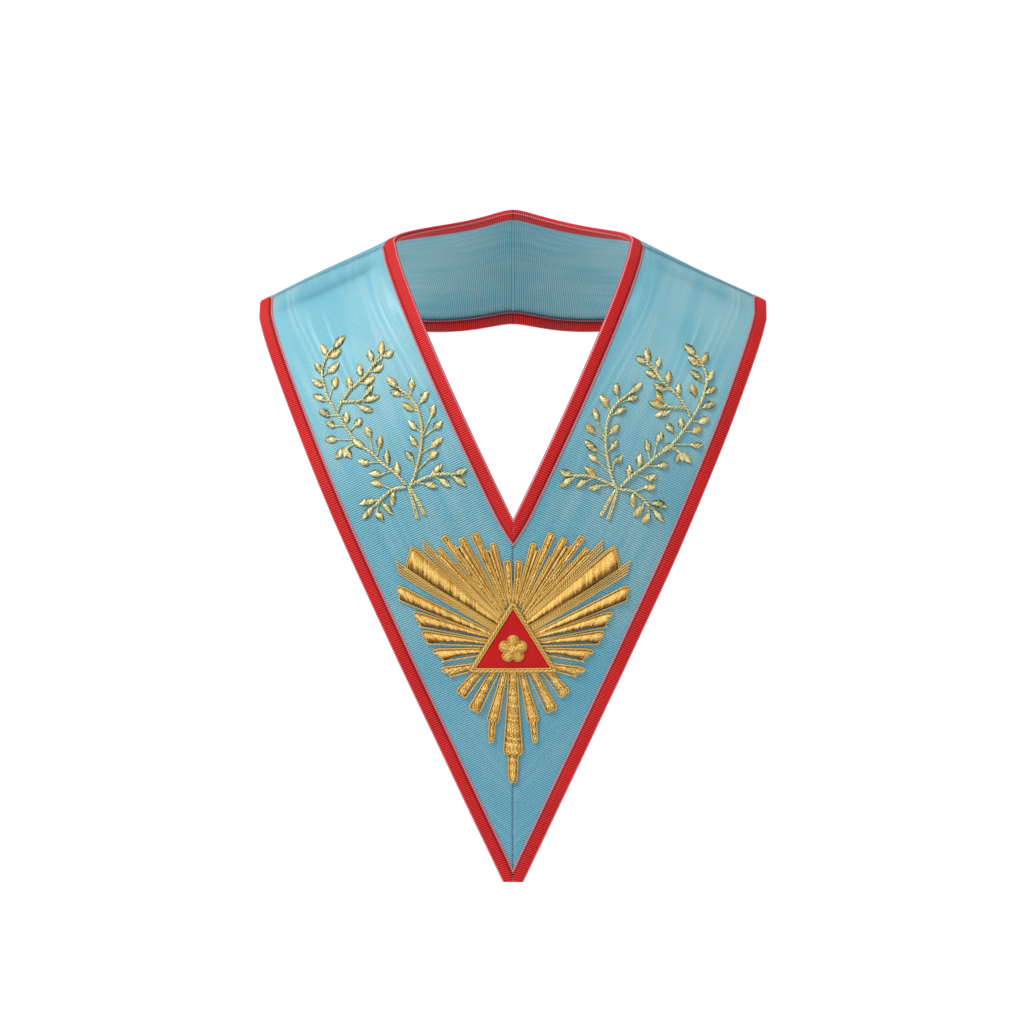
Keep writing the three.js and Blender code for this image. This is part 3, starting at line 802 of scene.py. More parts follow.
# a cord's twist and lobes, and its tone, painted lighter on the lobes and darker between them
cordLook = {"twist": 0.0019, "lobe": 0.22, "sides": 7, "step": 0.00036, "light": 0.56, "contrast": 0.3}


def tipWeight(along):
    # how much a place along a ray takes part in the shape of its end
    return np.clip(1 - (along[-1] - along) / stitches["tipReach"], 0, 1) ** 1.5


def evenPath(path, step, closed=False):
    path = np.asarray(path, float)
    if closed:
        path = np.concatenate([path, path[:1]])
    made, _ = resampled(path, lengths(path), step)
    return made[:-1] if closed else made


def addCord(heap, path, radius, level, closed=False, twist=None, step=None, startTwist=0.0):
    path = evenPath(path, step or cordLook["step"], closed)
    centre = onChest(path[:, 0], path[:, 1], level + radius)
    above = onChest(path[:, 0], path[:, 1], level + radius + 0.0005)
    normal = unit(above - centre)
    if closed:
        tangent = np.roll(centre, -1, axis=0) - np.roll(centre, 1, axis=0)
    else:
        tangent = np.gradient(centre, axis=0)
    across = np.cross(unit(tangent), normal)
    along = lengths(centre)
    angle = np.linspace(0, 2 * math.pi, cordLook["sides"], endpoint=False)[None, :]
    spin = (math.pi * along / (twist or cordLook["twist"]) * 2 + startTwist)[:, None]
    reach = radius * (1 + cordLook["lobe"] * np.cos(2 * angle - spin))
    if not closed:
        ends = np.minimum(along, along[-1] - along) / (radius * 1.2)
        reach = reach * np.sqrt(np.clip(ends, 0.08, 1))[:, None]
    points = centre[:, None] + across[:, None] * (np.cos(angle) * reach)[..., None]
    points = points + normal[:, None] * (np.sin(angle) * reach)[..., None]
    weave = np.stack(np.broadcast_arrays(angle * radius, along[:, None]), axis=-1)
    # painted light: the cord is lighter on the lobes of its twist and darker between them
    heap.addTube(points, weave, closed, cordLook["light"] + cordLook["contrast"] * np.cos(2 * angle - spin))


padColumns = np.array([0, 0.04, 0.1, 0.18, 0.27, 0.36, 0.44, 0.52, 0.6, 0.68, 0.76, 0.84, 0.91, 0.96, 1.0])


def addPad(heap, left, right, crest, ridge=0.5, level=stitches["base"], lengthwise=False, nub=0.0, pitch=None,
           lean=stitches["lean"], tipShift=None, lowSide=0, lightness=stitches["lightness"], edgeShade=0.3,
           ragged=None, streaks=None):
    # a padded strip of stitches between two edges, with its crest nearer one edge or the other
    pitch = pitch or stitches["pitch"]
    middle = (left + right) / 2
    along = lengths(middle)
    width = np.linalg.norm(right - left, axis=1)
    a = padColumns[None, :]
    slope = np.where(a < ridge, a / ridge, (1 - a) / (1 - ridge))
    crown = np.sin(halfPi * np.clip(slope, 0, 1)) ** stitches["roundness"]
    across = a * width[:, None]
    if lengthwise:
        phase = across / pitch
    else:
        phase = (along[:, None] + across * lean) / pitch
        if nub:
            aside, ahead = stitches["nubWaves"]
            waves = across / aside + along[:, None] / ahead
            phase = phase + stitches["nubWander"] * np.sin(2 * math.pi * waves)
    thread = np.abs(np.sin(math.pi * phase))
    order = np.floor(phase).astype(int) % stitches["threads"]
    height = crest[:, None] * crown + stitches["depth"] * (thread - 0.6) * np.clip(crown * 3, 0, 1)
    loose = (rng.random(stitches["threads"]) - 0.5)[order] * (ragged or stitches["jitter"])
    uneven = (rng.random(stitches["threads"]) - 0.5)[order]
    beadPhase = across / stitches["bead"] + 0.5 * (order % 2) + uneven
    bead = np.sin(2 * math.pi * beadPhase) * thread * crown
    height = height + nub * bead
    within, between = stitches["nubTones" if nub else "tones"]
    # painted light and shade: lighter on each thread's crest and on each knot, darker between threads and
    # towards the pad's edges
    tone = lightness + within * (thread - 0.6) + uneven * (streaks or between)
    tone = tone - edgeShade * (1 - crown) + nub / stitches["nubTone"] * bead
    # painted shade on the lower flank, below a border that wanders, and a painted sheen higher up
    if lowSide:
        downhill = a if lowSide > 0 else 1 - a
        border = stitches["shadeFrom"] + 0.22 * uneven
        tone = tone - stitches["shading"] * np.clip((downhill - border) / stitches["shadeOver"], 0, 1)
        tone = tone + stitches["sheen"] * bell(downhill, 0.32, 0.2)
    edgeOnly = np.where(a < 0.5, -1, 1) * (np.abs(a - 0.5) > 0.45)
    shifted = a + edgeOnly * loose / np.maximum(width[:, None], 0.0005)
    place = left[:, None] * (1 - shifted[..., None]) + right[:, None] * shifted[..., None]
    if tipShift is not None:
        forward = tipShift(a[0])[None, :, None] * unit(middle[-1] - middle[-9])
        place = place + forward * tipWeight(along)[:, None, None]
    # the rim reaches a little into the cloth
    rim = np.full((len(left), 1), -0.0001)
    height = np.concatenate([rim, np.maximum(height, 0.00025), rim], axis=1)
    place = np.concatenate([place[:, :1], place, place[:, -1:]], axis=1)
    points = onChest(place[..., 0], place[..., 1], level + height)
    rimmed = np.concatenate([[0], padColumns, [1]])[None, :] * width[:, None]
    weave = np.stack(np.broadcast_arrays(rimmed, along[:, None]), axis=-1)
    heap.addTube(points, weave, tone=np.concatenate([tone[:, :1], tone, tone[:, -1:]], axis=1))


# The sunburst. Places are in millimetres from its middle, for the viewer's right half
burst = {
    "height": -0.2496,
    "overlap": 0.003,
    "cordRadius": 0.00046,
    "cordGap": -0.00008,
    "rowStep": 0.0014 / 5,
    "nub": 0.00045,
    "nubPitch": 0.00145,
    "fingers": 0.0010,
    "stepBack": 0.0042,
    "shorter": 0.0014,
    # how far the stitches keep away from the lower cord at each stop, as shares of a row's hollow
    "hollowShares": [[0.6], [1], [0.75], [0.1], [0]],
    # strands that fill the narrow places between the upper rays, up to this part of their length
    "filledRays": 8,
    "filledTo": 0.74,
    "strand": 0.00046,
    # how far cords sink into the cloth
    "sink": 0.0001,
}


def ray(tip, tipWidth, root, rootWidth, pad, look, **more):
    # a ray, with the height of its padding as pad, and how its stitches are worked
    return dict(tip=tip, tipWidth=tipWidth, root=root, rootWidth=rootWidth, pad=pad, look=look, **more)


rays = [
    ray((3.9, 57.2), 3.6, (1.5, 31.0), 1.4, 1.4, "nubs"),
    ray((15.1, 68.6), 6.2, (3.9, 31.2), 1.8, 1.8, "twin"),
    ray((25.2, 75.5), 3.6, (6.1, 29.0), 1.4, 1.5, "nubs"),
    ray((35.6, 71.3), 7.4, (7.7, 24.5), 1.8, 1.9, "twin"),
    ray((45.4, 73.2), 2.8, (9.3, 22.8), 1.2, 1.2, "nubs"),
    ray((50.2, 64.6), 4.8, (10.4, 21.6), 1.4, 1.6, "twin"),
    ray((61.2, 69.8), 6.4, (11.0, 20.7), 2.2, 0.7, "cords", strands=4),
    ray((68.2, 58.6), 13.6, (11.6, 17.0), 3.8, 3.1, "satin", slant=5.6, fingers=1, outlines=2),
    ray((79.4, 54.4), 8.0, (13.9, 12.1), 3.4, 0.9, "cords", strands=5),
    ray((75.2, 35.2), 8.4, (16.2, 8.2), 2.6, 2.4, "satin", slant=6.2, fingers=2),
    ray((63.0, 17.6), 8.6, (17.5, 5.7), 2.8, 2.2, "satin", slant=8.5, fingers=3, hollow=1.2),
    ray((58.0, 5.2), 8.0, (21.3, 1.5), 3.0, 2.0, "satin", slant=6, fingers=2, hollow=1.3),
    ray((49.2, -7.2), 8.0, (24.3, -4.8), 4.0, 1.8, "satin", slant=8, fingers=3, hollow=1.5),
    ray((44.2, -18.8), 6.4, (28.0, -15.4), 3.6, 1.6, "nubs", slant=8, fingers=2, hollow=0.9),
    ray((34.5, -33.6), 7.0, (23.0, -19.5), 4.8, 1.8, "nubs", fingers=3, hollow=1.5),
    ray((25.8, -44.6), 7.2, (12.9, -19.5), 4.8, 1.8, "nubs", fingers=3, hollow=1.5),
]
spears = [
    ray((14.7, -66.8), 3.0, (5.7, -19.5), 2.6, 1.8, "nubs", step=(13.6, -52.0), stepWidth=6.6),
    ray((0.0, -94.8), 5.4, (0.0, -19.5), 5.0, 2.4, "nubs", step=(0.0, -75.0), stepWidth=11.6),
]
milli = 0.001


def rayEdges(row):
    # the corners of a ray's two edges from its root to its tip, and its height at each
    root, tip = np.array(row["root"]) * milli, np.array(row["tip"]) * milli
    heading = unit(tip - root)
    start = root - heading * burst["overlap"]
    # each stop has a place, the direction there, a width and a share of the padding's height
    if "step" in row:
        step = np.array(row["step"]) * milli
        wide, narrow = unit(step - root), unit(tip - step)
        grown = row["rootWidth"] + (row["stepWidth"] - row["rootWidth"]) * 0.3
        stops = [
            (start, wide, row["rootWidth"], 0.6),
            (start + (step - start) * 0.4, wide, grown, 0.9),
            (step - wide * 0.0016, wide, row["stepWidth"], 1.0),
            (step, wide, row["stepWidth"] * 0.92, 0.8),
            (step + narrow * 0.0014, narrow, row["tipWidth"] * 1.05, 0.7),
            (step + (tip - step) * 0.6, narrow, row["tipWidth"], 0.9),
            (tip - narrow * 0.0018, narrow, row["tipWidth"] * 0.85, 0.8),
            (tip, narrow, row["tipWidth"] * 0.4, 0.35),
        ]
    else:
        grown = row["rootWidth"] + (row["tipWidth"] - row["rootWidth"]) * 0.35
        stops = [
            (start, heading, row["rootWidth"], 0.45),
            (start + (tip - start) * 0.35, heading, grown, 0.85),
            (start + (tip - start) * 0.8, heading, grown + (row["tipWidth"] - grown) * 0.7, 1.0),
            (tip - heading * 0.0014, heading, row["tipWidth"], 1.0),
            (tip, heading, row["tipWidth"] * 0.9, 0.5),
        ]
    left, right, crest = [], [], []
    for place, direction, width, height in stops:
        side = np.array([-direction[1], direction[0]]) * width * milli / 2
        left.append(place + side)
        right.append(place - side)
        crest.append(height * row["pad"] * milli)
    return np.array(left), np.array(right), np.array(crest)


def fingersOf(row, mirror):
    # the end of a ray steps back from its upper edge in rounded fingers
    slant = row.get("slant", 0) * milli
    fingers = row.get("fingers", 1)

    def shift(across):
        a = 1 - across if mirror else across
        if row["look"] == "twin":
            stepped = np.where(a < 0.5, 0, -burst["stepBack"])
            inFinger = np.where(a < 0.5, a * 2, a * 2 - 1)
        else:
            finger = np.clip(np.floor(a * fingers - 1e-6), 0, fingers - 1)
            inFinger = a * fingers - finger
            # a single end is cut straight across, and fingers lean only a little
            lean = 1.0 if fingers == 1 else 0.3
            stepped = slant * (0.5 - (finger + 0.5) / fingers) - lean * slant * (inFinger - 0.5) / fingers
        rounded = np.sqrt(np.clip(1 - (2 * inFinger - 1) ** 2, 0, 1)) - 0.6
        return stepped + burst["fingers"] * rounded * (1 if fingers > 1 else 0.3)
    return shift


def addStitches(pads, row, mirror, left, right, crest, shift, part=(0, 1), ridge=0.5, lowSide=0, shorter=0.0):
    packed = np.concatenate([left, right, crest[:, None]], axis=1)
    fine, wanted = resampled(packed, lengths((left + right) / 2), burst["rowStep"])
    keep = int(np.sum(wanted <= wanted[-1] - shorter))
    fine = fine[:keep]
    fine[-1, 4] *= 0.6  # the padding drops at its end
    first, second = (1 - part[1], 1 - part[0]) if mirror else part
    edgeA = fine[:, 0:2] * (1 - first) + fine[:, 2:4] * first + [0, burst["height"]]
    edgeB = fine[:, 0:2] * (1 - second) + fine[:, 2:4] * second + [0, burst["height"]]
    nub = burst["nub"] if row["look"] == "nubs" else 0.0
    pitch = burst["nubPitch"] if nub else None
    lean = stitches["nubLean" if nub else "lean"]
    if mirror:
        ridge, lowSide, lean = 1 - ridge, -lowSide, -lean
    addPad(pads, edgeA, edgeB, fine[:, 4], ridge, nub=nub, lean=lean, pitch=pitch, tipShift=shift,
           lowSide=lowSide, lightness=stitches["nubLightness" if nub else "lightness"])


def addRay(pads, cords, row, mirror):
    left, right, crest = rayEdges(row)
    if mirror:
        left, right = right * [-1, 1], left * [-1, 1]
    middle = (left + right) / 2
    radius = burst["cordRadius"]
    towards = unit(right - left)
    level = stitches["base"] - burst["sink"]
    shift = fingersOf(row, mirror)
    heading = unit(middle[-1] - middle[-2])
    if row["look"] == "cords":
        # cords side by side, each ending a little before the one above it
        for k in range(row["strands"]):
            across = (k + 0.5) / row["strands"]
            across = 1 - across if mirror else across
            line = left * (1 - across) + right * across + [0, burst["height"]]
            line = np.concatenate([line[:3], [line[-1] - heading * burst["shorter"] * k]])
            addCord(cords, line, burst["strand"], level + 0.0003, startTwist=float(rng.random() * 6))
        return
    for order in range(row.get("outlines", 1)):
        # the inner cord hugs the stitches, and a second one follows it a little way out
        away = burst["cordGap"] + radius * (1 + 2.3 * order)
        cordLeft, cordRight = left - towards * away, right + towards * away
        across = np.linspace(0, 1, 25)[:, None]
        end = cordLeft[-1] * (1 - across) + cordRight[-1] * across + heading * (shift(across) + away)
        path = np.concatenate([cordLeft[:-1], end, cordRight[:-1][::-1]]) + [0, burst["height"]]
        addCord(cords, path, radius * (1 - 0.15 * order), level + 0.0004, startTwist=float(rng.random() * 6))
    if "hollow" in row:
        # the stitches keep away from the lower cord, but for the end
        hollow = np.array(burst["hollowShares"]) * row["hollow"] * milli
        if mirror:
            left = left + towards * hollow
        else:
            right = right - towards * hollow
    if row["look"] == "twin":
        # a smooth round strand, and a lower and shorter one below it
        addStitches(pads, row, mirror, left, right, crest, None, (0, 0.47), 0.4)
        addStitches(pads, row, mirror, left, right, crest * 0.75, None, (0.51, 1), 0.5, 1, burst["stepBack"])
    elif row["look"] == "satin":
        addStitches(pads, row, mirror, left, right, crest, shift, (0, 1), 0.62, 1)
    else:
        addStitches(pads, row, mirror, left, right, crest, shift)


goldPads, goldCords = {"right": Heap(), "left": Heap()}, {"right": Heap(), "left": Heap()}
for row in rays + spears:
    for word, side in sides:
        if side < 0 and row["tip"][0] == 0:
            continue
        addRay(goldPads[word], goldCords[word], row, side < 0)
for first, second in zip(rays[: burst["filledRays"]], rays[1:]):
    start = (np.array(first["root"]) + second["root"]) / 2
    end = (np.array(first["tip"]) + second["tip"]) / 2
    line = np.array([start, start + (end - start) * burst["filledTo"]]) * milli
    for word, side in sides:
        path = line * [side, 1] + [0, burst["height"]]
        addCord(goldCords[word], path, burst["strand"], stitches["base"] - burst["sink"], startTwist=start[0])
burstPieces = []
for word, _ in sides:
    pads = goldPads[word].piece("padded_rays_" + word)
    finished(pads, materials["gold"], "gold_bullion", "sunburst")
    cords = goldCords[word].piece("ray_cords_" + word)
    finished(cords, materials["goldCord"], "gold_bullion")
    burstPieces += [pads, cords]
print("sunburst made")

# The triangle
triangle = {
    "top": 0.0305,
    "bottom": -0.018,
    "halfBase": 0.0294,
    "thickness": 0.0011,
    "steps": 46,
    # how far each plate reaches past the triangle, its height over the stitches' base, and its crown
    "ground": (0.0008, 0.0012, 0.0002),
    "field": (-0.0022, 0.0016, 0.0009),
    # its cords, outer and inner: how far each lies past the triangle, its radius and its height
    "cords": [(-0.00065, 0.00078, 0.0011), (-0.0021, 0.0005, 0.0015)],
}


def triangleCorners(margin):
    side = unit(np.array([-triangle["halfBase"], triangle["top"] - triangle["bottom"]]))
    atTop = margin / abs(side[0])
    atBase = margin * (1 + abs(side[0])) / abs(side[1])
    return np.array([
        [0, triangle["top"] + atTop],
        [triangle["halfBase"] + atBase, triangle["bottom"] - margin],
        [-triangle["halfBase"] - atBase, triangle["bottom"] - margin],
    ]) + [0, burst["height"]]


def roundedLoop(corners, radius, steps=5):
    path = []
    for i, corner in enumerate(corners):
        before, after = unit(corners[i - 1] - corner), unit(corners[(i + 1) % len(corners)] - corner)
        for k in range(steps + 1):
            part = k / steps
            path.append(corner + radius * (before * (1 - part) ** 2 + after * part**2))
    return np.array(path)


def trianglePlate(name, margin, height, crown):
    corners = triangleCorners(margin)
    steps = triangle["steps"]
    places, shares, index = [], [], {}
    for i in range(steps + 1):
        for j in range(steps + 1 - i):
            index[i, j] = len(places)
            share = np.array([i, j, steps - i - j]) / steps
            places.append(share @ corners)
            shares.append(share.min() * 3)
    places, shares = np.array(places), np.array(shares)
    level = stitches["base"] + height
    points = onChest(places[:, 0], places[:, 1], level + crown * np.clip(shares * 3, 0, 1) ** 0.5)
    faces = []
    for i in range(steps):
        for j in range(steps - i):
            faces.append([index[i, j], index[i + 1, j], index[i, j + 1]])
            if j < steps - i - 1:
                faces.append([index[i + 1, j], index[i + 1, j + 1], index[i, j + 1]])
    made = makeMesh(name, points, faces, places)
    if made.data.polygons[0].normal.y > 0:
        made.data.flip_normals()
    applyModifier(made, "SOLIDIFY", thickness=triangle["thickness"], offset=-1.0)
    return made


ground = trianglePlate("triangle_ground", *triangle["ground"])
toned(ground, 0.3)
finished(ground, materials["gold"], "gold_bullion")
field = trianglePlate("triangle_field_satin", *triangle["field"])
finished(field, materials["satin"], "red_satin", "triangle_field")
borderCords = Heap()
for margin, radius, height in triangle["cords"]:
    loop = roundedLoop(triangleCorners(margin), radius * 2)
    level = stitches["base"] + height
    addCord(borderCords, loop, radius, level, closed=True, twist=radius * 4.2, step=radius * 0.7)
border = borderCords.piece("triangle_cords")
finished(border, materials["goldCord"], "gold_bullion", "triangle_border")
print("triangle made")

# The rosette: five satin-stitched petals with a corded edge round a cluster of knots
rosette = {
    "height": -0.002,
    "petals": 5,
    "inner": 0.0018,
    "length": 0.0075,
    "width": 0.0070,
    "crest": 0.0012,
    "widest": 0.6,
    "inset": 0.0004,
    "pitch": 0.00062,
    "cordRadius": 0.0003,
    "knots": 6,
    "knotRing": 0.0017,
    "knotRadius": 0.00085,
    "knotHeight": 0.0009,
    # the middle knot, against the others
    "middleKnot": 1.15,
    "middleRise": 0.0003,
}


def petalEdges(angle, count=44):
    part = np.linspace(0, 1, count)
    along = rosette["inner"] + rosette["length"] * part
    # a longer taper towards the middle than towards the end
    taper = (part - rosette["widest"]) / np.where(part < rosette["widest"], 0.72, 0.4)
    half = rosette["width"] / 2 * np.sqrt(np.clip(1 - taper**2, 0, 1))
    heading = np.array([math.cos(angle), math.sin(angle)])
    side = np.array([-heading[1], heading[0]])
    middle = np.array([0, burst["height"] + rosette["height"]]) + along[:, None] * heading
    return middle + side * half[:, None], middle - side * half[:, None], half / half.max()


petals, petalCords = Heap(), Heap()
rosetteLevel = stitches["base"] + 0.0026
for i in range(rosette["petals"]):
    angle = halfPi + i * 2 * math.pi / rosette["petals"]
    left, right, full = petalEdges(angle)
    inset = rosette["inset"] / np.maximum(np.linalg.norm(right - left, axis=1, keepdims=True), 0.0009)
    padLeft, padRight = left + (right - left) * inset, right + (left - right) * inset
    crest = rosette["crest"] * np.sqrt(np.clip(full, 0.05, 1))
    addPad(petals, padLeft, padRight, crest, level=rosetteLevel, lengthwise=True, pitch=rosette["pitch"])
    loop = np.concatenate([left, right[::-1][1:]])
    addCord(petalCords, loop, rosette["cordRadius"], rosetteLevel - 0.0001, twist=0.0013, step=0.0003)
rosettePetals = petals.piece("rosette_petals")
finished(rosettePetals, materials["gold"], "gold_bullion", "rosette")
rosetteCords = petalCords.piece("rosette_cords")
finished(rosetteCords, materials["goldCord"], "gold_bullion")


def addKnot(x, z, height, radius):
    place = onChest(np.array(x), np.array(z), np.array(height))
    bpy.ops.mesh.primitive_uv_sphere_add(segments=14, ring_count=9, radius=radius, location=tuple(place))
    knot = bpy.context.active_object
    bpy.ops.object.transform_apply(location=True, rotation=True, scale=True)
    inEditMode(knot, lambda: bpy.ops.transform.resize(value=(1, 0.7, 1), center_override=tuple(place)))
    return knot


middleX, middleZ = 0.0, burst["height"] + rosette["height"]
knotLevel = rosetteLevel + rosette["knotHeight"]
middleSize = rosette["knotRadius"] * rosette["middleKnot"]
knots = [addKnot(middleX, middleZ, knotLevel + rosette["middleRise"], middleSize)]
for i in range(rosette["knots"]):
    angle = i * 2 * math.pi / rosette["knots"]
    x = middleX + rosette["knotRing"] * math.cos(angle)
    z = middleZ + rosette["knotRing"] * math.sin(angle)
    knots.append(addKnot(x, z, knotLevel, rosette["knotRadius"]))
bpy.ops.object.select_all(action="DESELECT")
for knot in knots:
    knot.select_set(True)
bpy.context.view_layer.objects.active = knots[0]
bpy.ops.object.join()
knots[0].name = "rosette_knots"
toned(knots[0], 0.72)
bpy.ops.object.shade_smooth()
bpy.ops.object.select_all(action="DESELECT")
finished(knots[0], materials["goldCord"], "gold_bullion")
print("rosette made")

# The sprigs. Places are in millimetres from the knot, for the viewer's right leg
sprig = {
    "across": 0.0687,
    "height": -0.144,
    "stemRadius": 0.0009,
    "stalkRadius": 0.00052,
    "leafWidth": 0.0049,
    "leafCrest": 0.0019,
    # a leaf's width is this share of the above at least, and this much more at most
    "leafVaries": (0.92, 0.16),
    "leafBend": 0.0012,
    # a stalk starts this many steps of the stem's path below its leaf
    "pathStep": 0.0005,
    "stalkBelow": 4,
    "stitchPitch": 0.0011,
    "ragged": 0.0006,
    "streaks": 0.5,
    # a tail's two strands lie this far from its line in millimetres, and meet over the first ones
    "strandApart": 0.6,
    "strandMeet": 6,
    "sink": 0.00005,
    # the left one is stitched a little higher and more upright
    "leftTurn": math.radians(-1.3),
    "leftShift": (0.0002, 0.0014),
    "leftStretch": 1.03,
}
# a leaf is its foot and its point, and then where its stalk leaves the stem if it has one
twigs = [
    {
        "stem": [
            (2, 0), (10.5, 7.5), (18.5, 12.5), (26, 18.5), (34, 23), (42, 31), (49, 39.5), (55, 48),
            (58, 54.5), (60.5, 64.5), (57.5, 73.5), (53, 79.5),
        ],
        "leaves": [
            (53, 78.5, 45.5, 86.5), (57.5, 74, 62, 80), (56, 73, 48, 78.5), (57, 63.5, 49, 70.5),
            (59.5, 63, 65.5, 69), (53, 54.5, 50.5, 62.5, 55, 49), (59, 55.5, 67.5, 58.5),
            (57.5, 47, 66.5, 49), (54, 38, 62, 40), (50.5, 32, 57, 34.5, 45, 33),
            (43.5, 35, 43, 42, 43, 31), (37.5, 33.5, 32.5, 39, 41, 29.5), (26.5, 27.5, 30, 34, 24.5, 18),
            (20.5, 21.5, 19.5, 29.5, 22, 16.5), (14.5, 12, 15.5, 21, 15, 10.5), (8, 5.5, 8.5, 14, 7, 4),
            (49, 24.5, 57.5, 23.5, 37.5, 25.5), (43.5, 19.5, 39, 13.5, 38.5, 24), (43.5, 19.5, 50, 12.5),
            (43, 19.5, 44, 14), (26.5, 12, 34.5, 12.5, 20, 13), (18.5, 5, 27, 5.5, 12.5, 8),
            (30, 21, 38.5, 25.5),
        ],
    },
    {
        "stem": [
            (49, 41.5), (47.5, 46), (44.5, 50.5), (41, 55.5), (35.5, 60.5), (29.5, 66.5), (26.5, 71.5),
            (26.5, 74),
        ],
        "leaves": [
            (27, 73.5, 29, 80), (34, 63.5, 35.5, 71.5), (41, 55.5, 42, 63.5), (27, 67.5, 19, 72.5),
            (32.5, 59.5, 24.5, 64.5), (21, 77.5, 20.5, 86.5), (19.5, 77, 12.5, 81),
        ],
    },
    {
        "stem": [
            (28, 68.5), (24.5, 73), (21, 76), (19.5, 78.5),
        ],
        "leaves": [],
    },
    {
        "stem": [
            (47, 47.5), (41, 48.5), (35.5, 49), (31.5, 50.5),
        ],
        "leaves": [
            (30.5, 53, 26, 59.5), (32, 49, 21, 53), (35, 46, 25, 44, 39, 48.5),
        ],
    },
    {
        "stem": [
            (0, -0.5), (-2.5, 4), (-4.5, 10.5), (-7, 23), (-7.5, 35), (-6, 43.5), (-3.5, 49), (1.5, 54.5),
            (10, 60),
        ],
        "leaves": [
            (9.5, 59.5, 17, 65), (0, 58, 0, 66, 1, 54), (7, 55, 14.5, 56.5, 1.5, 53.5),
            (-6, 51, -11.5, 59, -4, 47.5), (-2, 46.5, 6.5, 50), (-13.5, 43, -15.5, 51, -8, 31.5),
            (-4.5, 34.5, 1.5, 40), (-15, 35.5, -21, 41, -8, 30), (-4.5, 24.5, 0.5, 30.5),
            (-13.5, 24, -21.5, 31, -6.5, 19.5), (-2.5, 15.5, 3.5, 20.5, -3.5, 10.5),
            (-12.5, 17, -19, 22, -3.5, 8),
        ],
    },
    {
        "stem": [
            (0, 0), (-7, 3.5), (-13.5, 6.5), (-18.5, 8), (-29, 8.5),
        ],
        "leaves": [
            (-14, 7, -21.5, 14.5), (-30, 8.5, -38, 12), (-28.5, 7, -38, 1),
            (-19.5, 5, -27.5, 0.5, -15.5, 7), (-10.5, 1.5, -19, 0, -3.5, 2),
        ],
    },
    {
        "stem": [
            (1.5, -1), (10, -3), (14.5, -6), (19, -10.5), (22, -14.5),
        ],
        "leaves": [
            (10.5, -4.5, 11, -14), (17.5, -13, 10.5, -19.5), (22, -11, 33.5, -14.5), (24, -15.5, 31, -24),
            (22, -18, 16.5, -24, 20.5, -13.5), (18, -1, 26, -0.5, 11, -3.5),
        ],
    },
]
tails = [[(0, 0), (-5.5, -9), (-11, -18.5)], [(1, 0), (-2.5, -10), (-6, -21)]]


def placed(places, side):
    # from the sprig's own millimetres to its place on the right or left leg
    p = np.array(places, float) * milli
    middle = np.array([sprig["across"], sprig["height"]])
    if side > 0:
        return p + middle
    c, d = math.cos(sprig["leftTurn"]), math.sin(sprig["leftTurn"])
    x, z = -p[..., 0], p[..., 1] * sprig["leftStretch"]
    return np.stack([x * c - z * d, x * d + z * c], axis=-1) + middle * [-1, 1] + sprig["leftShift"]


def smoothRoute(places, side):
    # a centripetal Catmull-Rom curve through the places, as points with equal spacing
    p = placed(places, side)
    p = np.concatenate([[2 * p[0] - p[1]], p, [2 * p[-1] - p[-2]]])
    made = []
    for a, b, c, d in zip(p[:-3], p[1:-2], p[2:-1], p[3:]):
        ta, tb, tc, td = np.cumsum([0.0] + [math.dist(u, v) ** 0.5 for u, v in ((a, b), (b, c), (c, d))])
        for t in np.linspace(tb, tc, 24, endpoint=False):
            ab = ((tb - t) * a + (t - ta) * b) / (tb - ta)
            bc = ((tc - t) * b + (t - tb) * c) / (tc - tb)
            cd = ((td - t) * c + (t - tc) * d) / (td - tc)
            abc = ((tc - t) * ab + (t - ta) * bc) / (tc - ta)
            bcd = ((td - t) * bc + (t - tb) * cd) / (td - tb)
            made.append(((tc - t) * abc + (t - tb) * bcd) / (tc - tb))
    made.append(p[-2])
    return evenPath(made, sprig["pathStep"])


def addLeaf(heap, foot, point, stalk):
    heading = unit(point - foot)
    length = np.linalg.norm(point - foot)
    side = np.array([-heading[1], heading[0]])
    part = np.linspace(0.0, 1.0, 36)
    least, more = sprig["leafVaries"]
    width = sprig["leafWidth"] * (least + more * rng.random())
    half = np.maximum(width / 2 * np.sin(math.pi * part**0.9) ** 0.7, 0.00012)
    bend = (rng.random() - 0.5) * sprig["leafBend"]
    middle = foot + heading * (part * length)[:, None] + side * (bend * np.sin(math.pi * part))[:, None]
    crest = sprig["leafCrest"] * (half / half.max()) ** 0.7
    addPad(heap, middle + side * half[:, None], middle - side * half[:, None], crest,
           pitch=sprig["stitchPitch"], lean=0.9, lightness=0.66, edgeShade=0.75, ragged=sprig["ragged"],
           streaks=sprig["streaks"])
    if stalk is not None:
        curve = (stalk + foot) / 2 + heading * 0.0006
        line = np.array([stalk, curve, foot + heading * 0.001])
        level = stitches["base"] - sprig["sink"]
        addCord(heap, line, sprig["stalkRadius"], level, twist=0.0014, step=0.00045)


def stalkStart(route, foot):
    # a leaf that stands off its stem joins it a little below the nearest place
    apart = np.linalg.norm(route - foot, axis=1)
    nearest = int(np.argmin(apart))
    if apart[nearest] < sprig["stemRadius"]:
        return None
    return route[max(nearest - sprig["stalkBelow"], 0)]


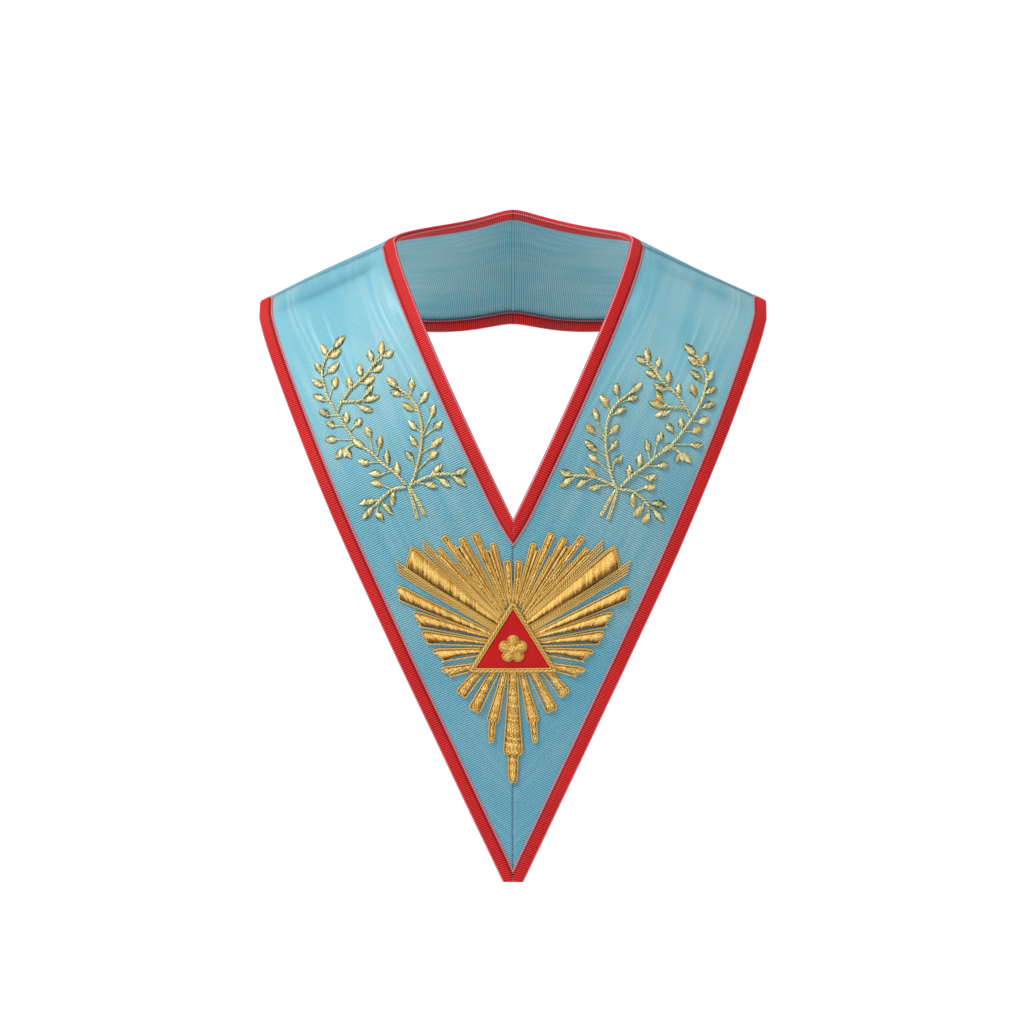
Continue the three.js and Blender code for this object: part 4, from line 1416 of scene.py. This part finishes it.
def makeSprig(word, side):
    heap = Heap()
    for twig in twigs:
        route = smoothRoute(twig["stem"], side)
        addCord(heap, route, sprig["stemRadius"], stitches["base"] - sprig["sink"], twist=0.0024)
        for leaf in twig["leaves"]:
            places = placed([leaf[i:i + 2] for i in range(0, len(leaf), 2)], side)
            stalk = places[2] if len(places) > 2 else stalkStart(route, places[0])
            addLeaf(heap, places[0], places[1], stalk)
    for tail in tails:
        for apart in (-sprig["strandApart"], sprig["strandApart"]):
            strand = [(x + apart * min(1, -y / sprig["strandMeet"]), y) for x, y in tail]
            addCord(heap, smoothRoute(strand, side), sprig["stemRadius"] * 0.7, stitches["base"], twist=0.002)
    made = heap.piece("leafy_sprig_" + word)
    finished(made, materials["sprig"], "gold_thread", "leaf_sprig_" + word)
    return made


sprigPieces = {word: makeSprig(word, side) for word, side in sides}
print("sprigs made")
# Floor, lights and camera
stage = {
    "floorDrop": -1.1,
    "floorSize": 60.0,
    "target": (-0.0007, -0.163, -0.17525),
    "camera": (-0.0007, -2.6912, 0.4317),
    "lens": 137.04,
    "roomLight": 0.33,
}


def floorMaterial():
    n = Nodes("paleFloor")
    cloud = n.noise(n.place("object"), 1.5, 2.0)
    return n.finish(n.mix(cloud, (0.95, 0.95, 0.95, 1), (0.97, 0.97, 0.97, 1)), 0.9)


bpy.ops.mesh.primitive_plane_add(size=stage["floorSize"], location=(0, 0, stage["floorDrop"]))
floor = bpy.context.active_object
floor.name = "floor"
bpy.ops.object.transform_apply(location=True, rotation=False, scale=False)
floor.data.materials.append(floorMaterial())
floor.select_set(False)


def aimed(holder, place, target):
    aim = np.array(target) - np.array(place)
    holder.location = place
    holder.rotation_euler = (math.atan2(math.hypot(aim[0], aim[1]), -aim[2]), 0, math.atan2(-aim[0], aim[1]))


lamps = [
    {"name": "keyLight", "kind": "SUN", "place": (-1.5, -1.0, 2.3), "spread": 0.26, "power": 3.15},
    {"name": "fillLight", "kind": "SUN", "place": (1.6, -2.0, 0.9), "spread": 0.9, "power": 0.28},
]
for lamp in lamps:
    light = bpy.data.lights.new(lamp["name"], lamp["kind"])
    light.angle = lamp["spread"]
    light.energy = lamp["power"]
    holder = bpy.data.objects.new(lamp["name"], light)
    bpy.context.scene.collection.objects.link(holder)
    aimed(holder, lamp["place"], stage["target"])

world = bpy.data.worlds.new("softWorld")
world.use_nodes = True
world.node_tree.nodes["Background"].inputs["Color"].default_value = (1, 1, 1, 1)
world.node_tree.nodes["Background"].inputs["Strength"].default_value = stage["roomLight"]
bpy.context.scene.world = world
bpy.context.scene.view_settings.view_transform = "Standard"

lensData = bpy.data.cameras.new("photoCamera")
lensData.lens = stage["lens"]
lensData.sensor_width = 36.0
lensData.clip_end = 100.0
camera = bpy.data.objects.new("photoCamera", lensData)
bpy.context.scene.collection.objects.link(camera)
aimed(camera, stage["camera"], stage["target"])
bpy.context.scene.camera = camera
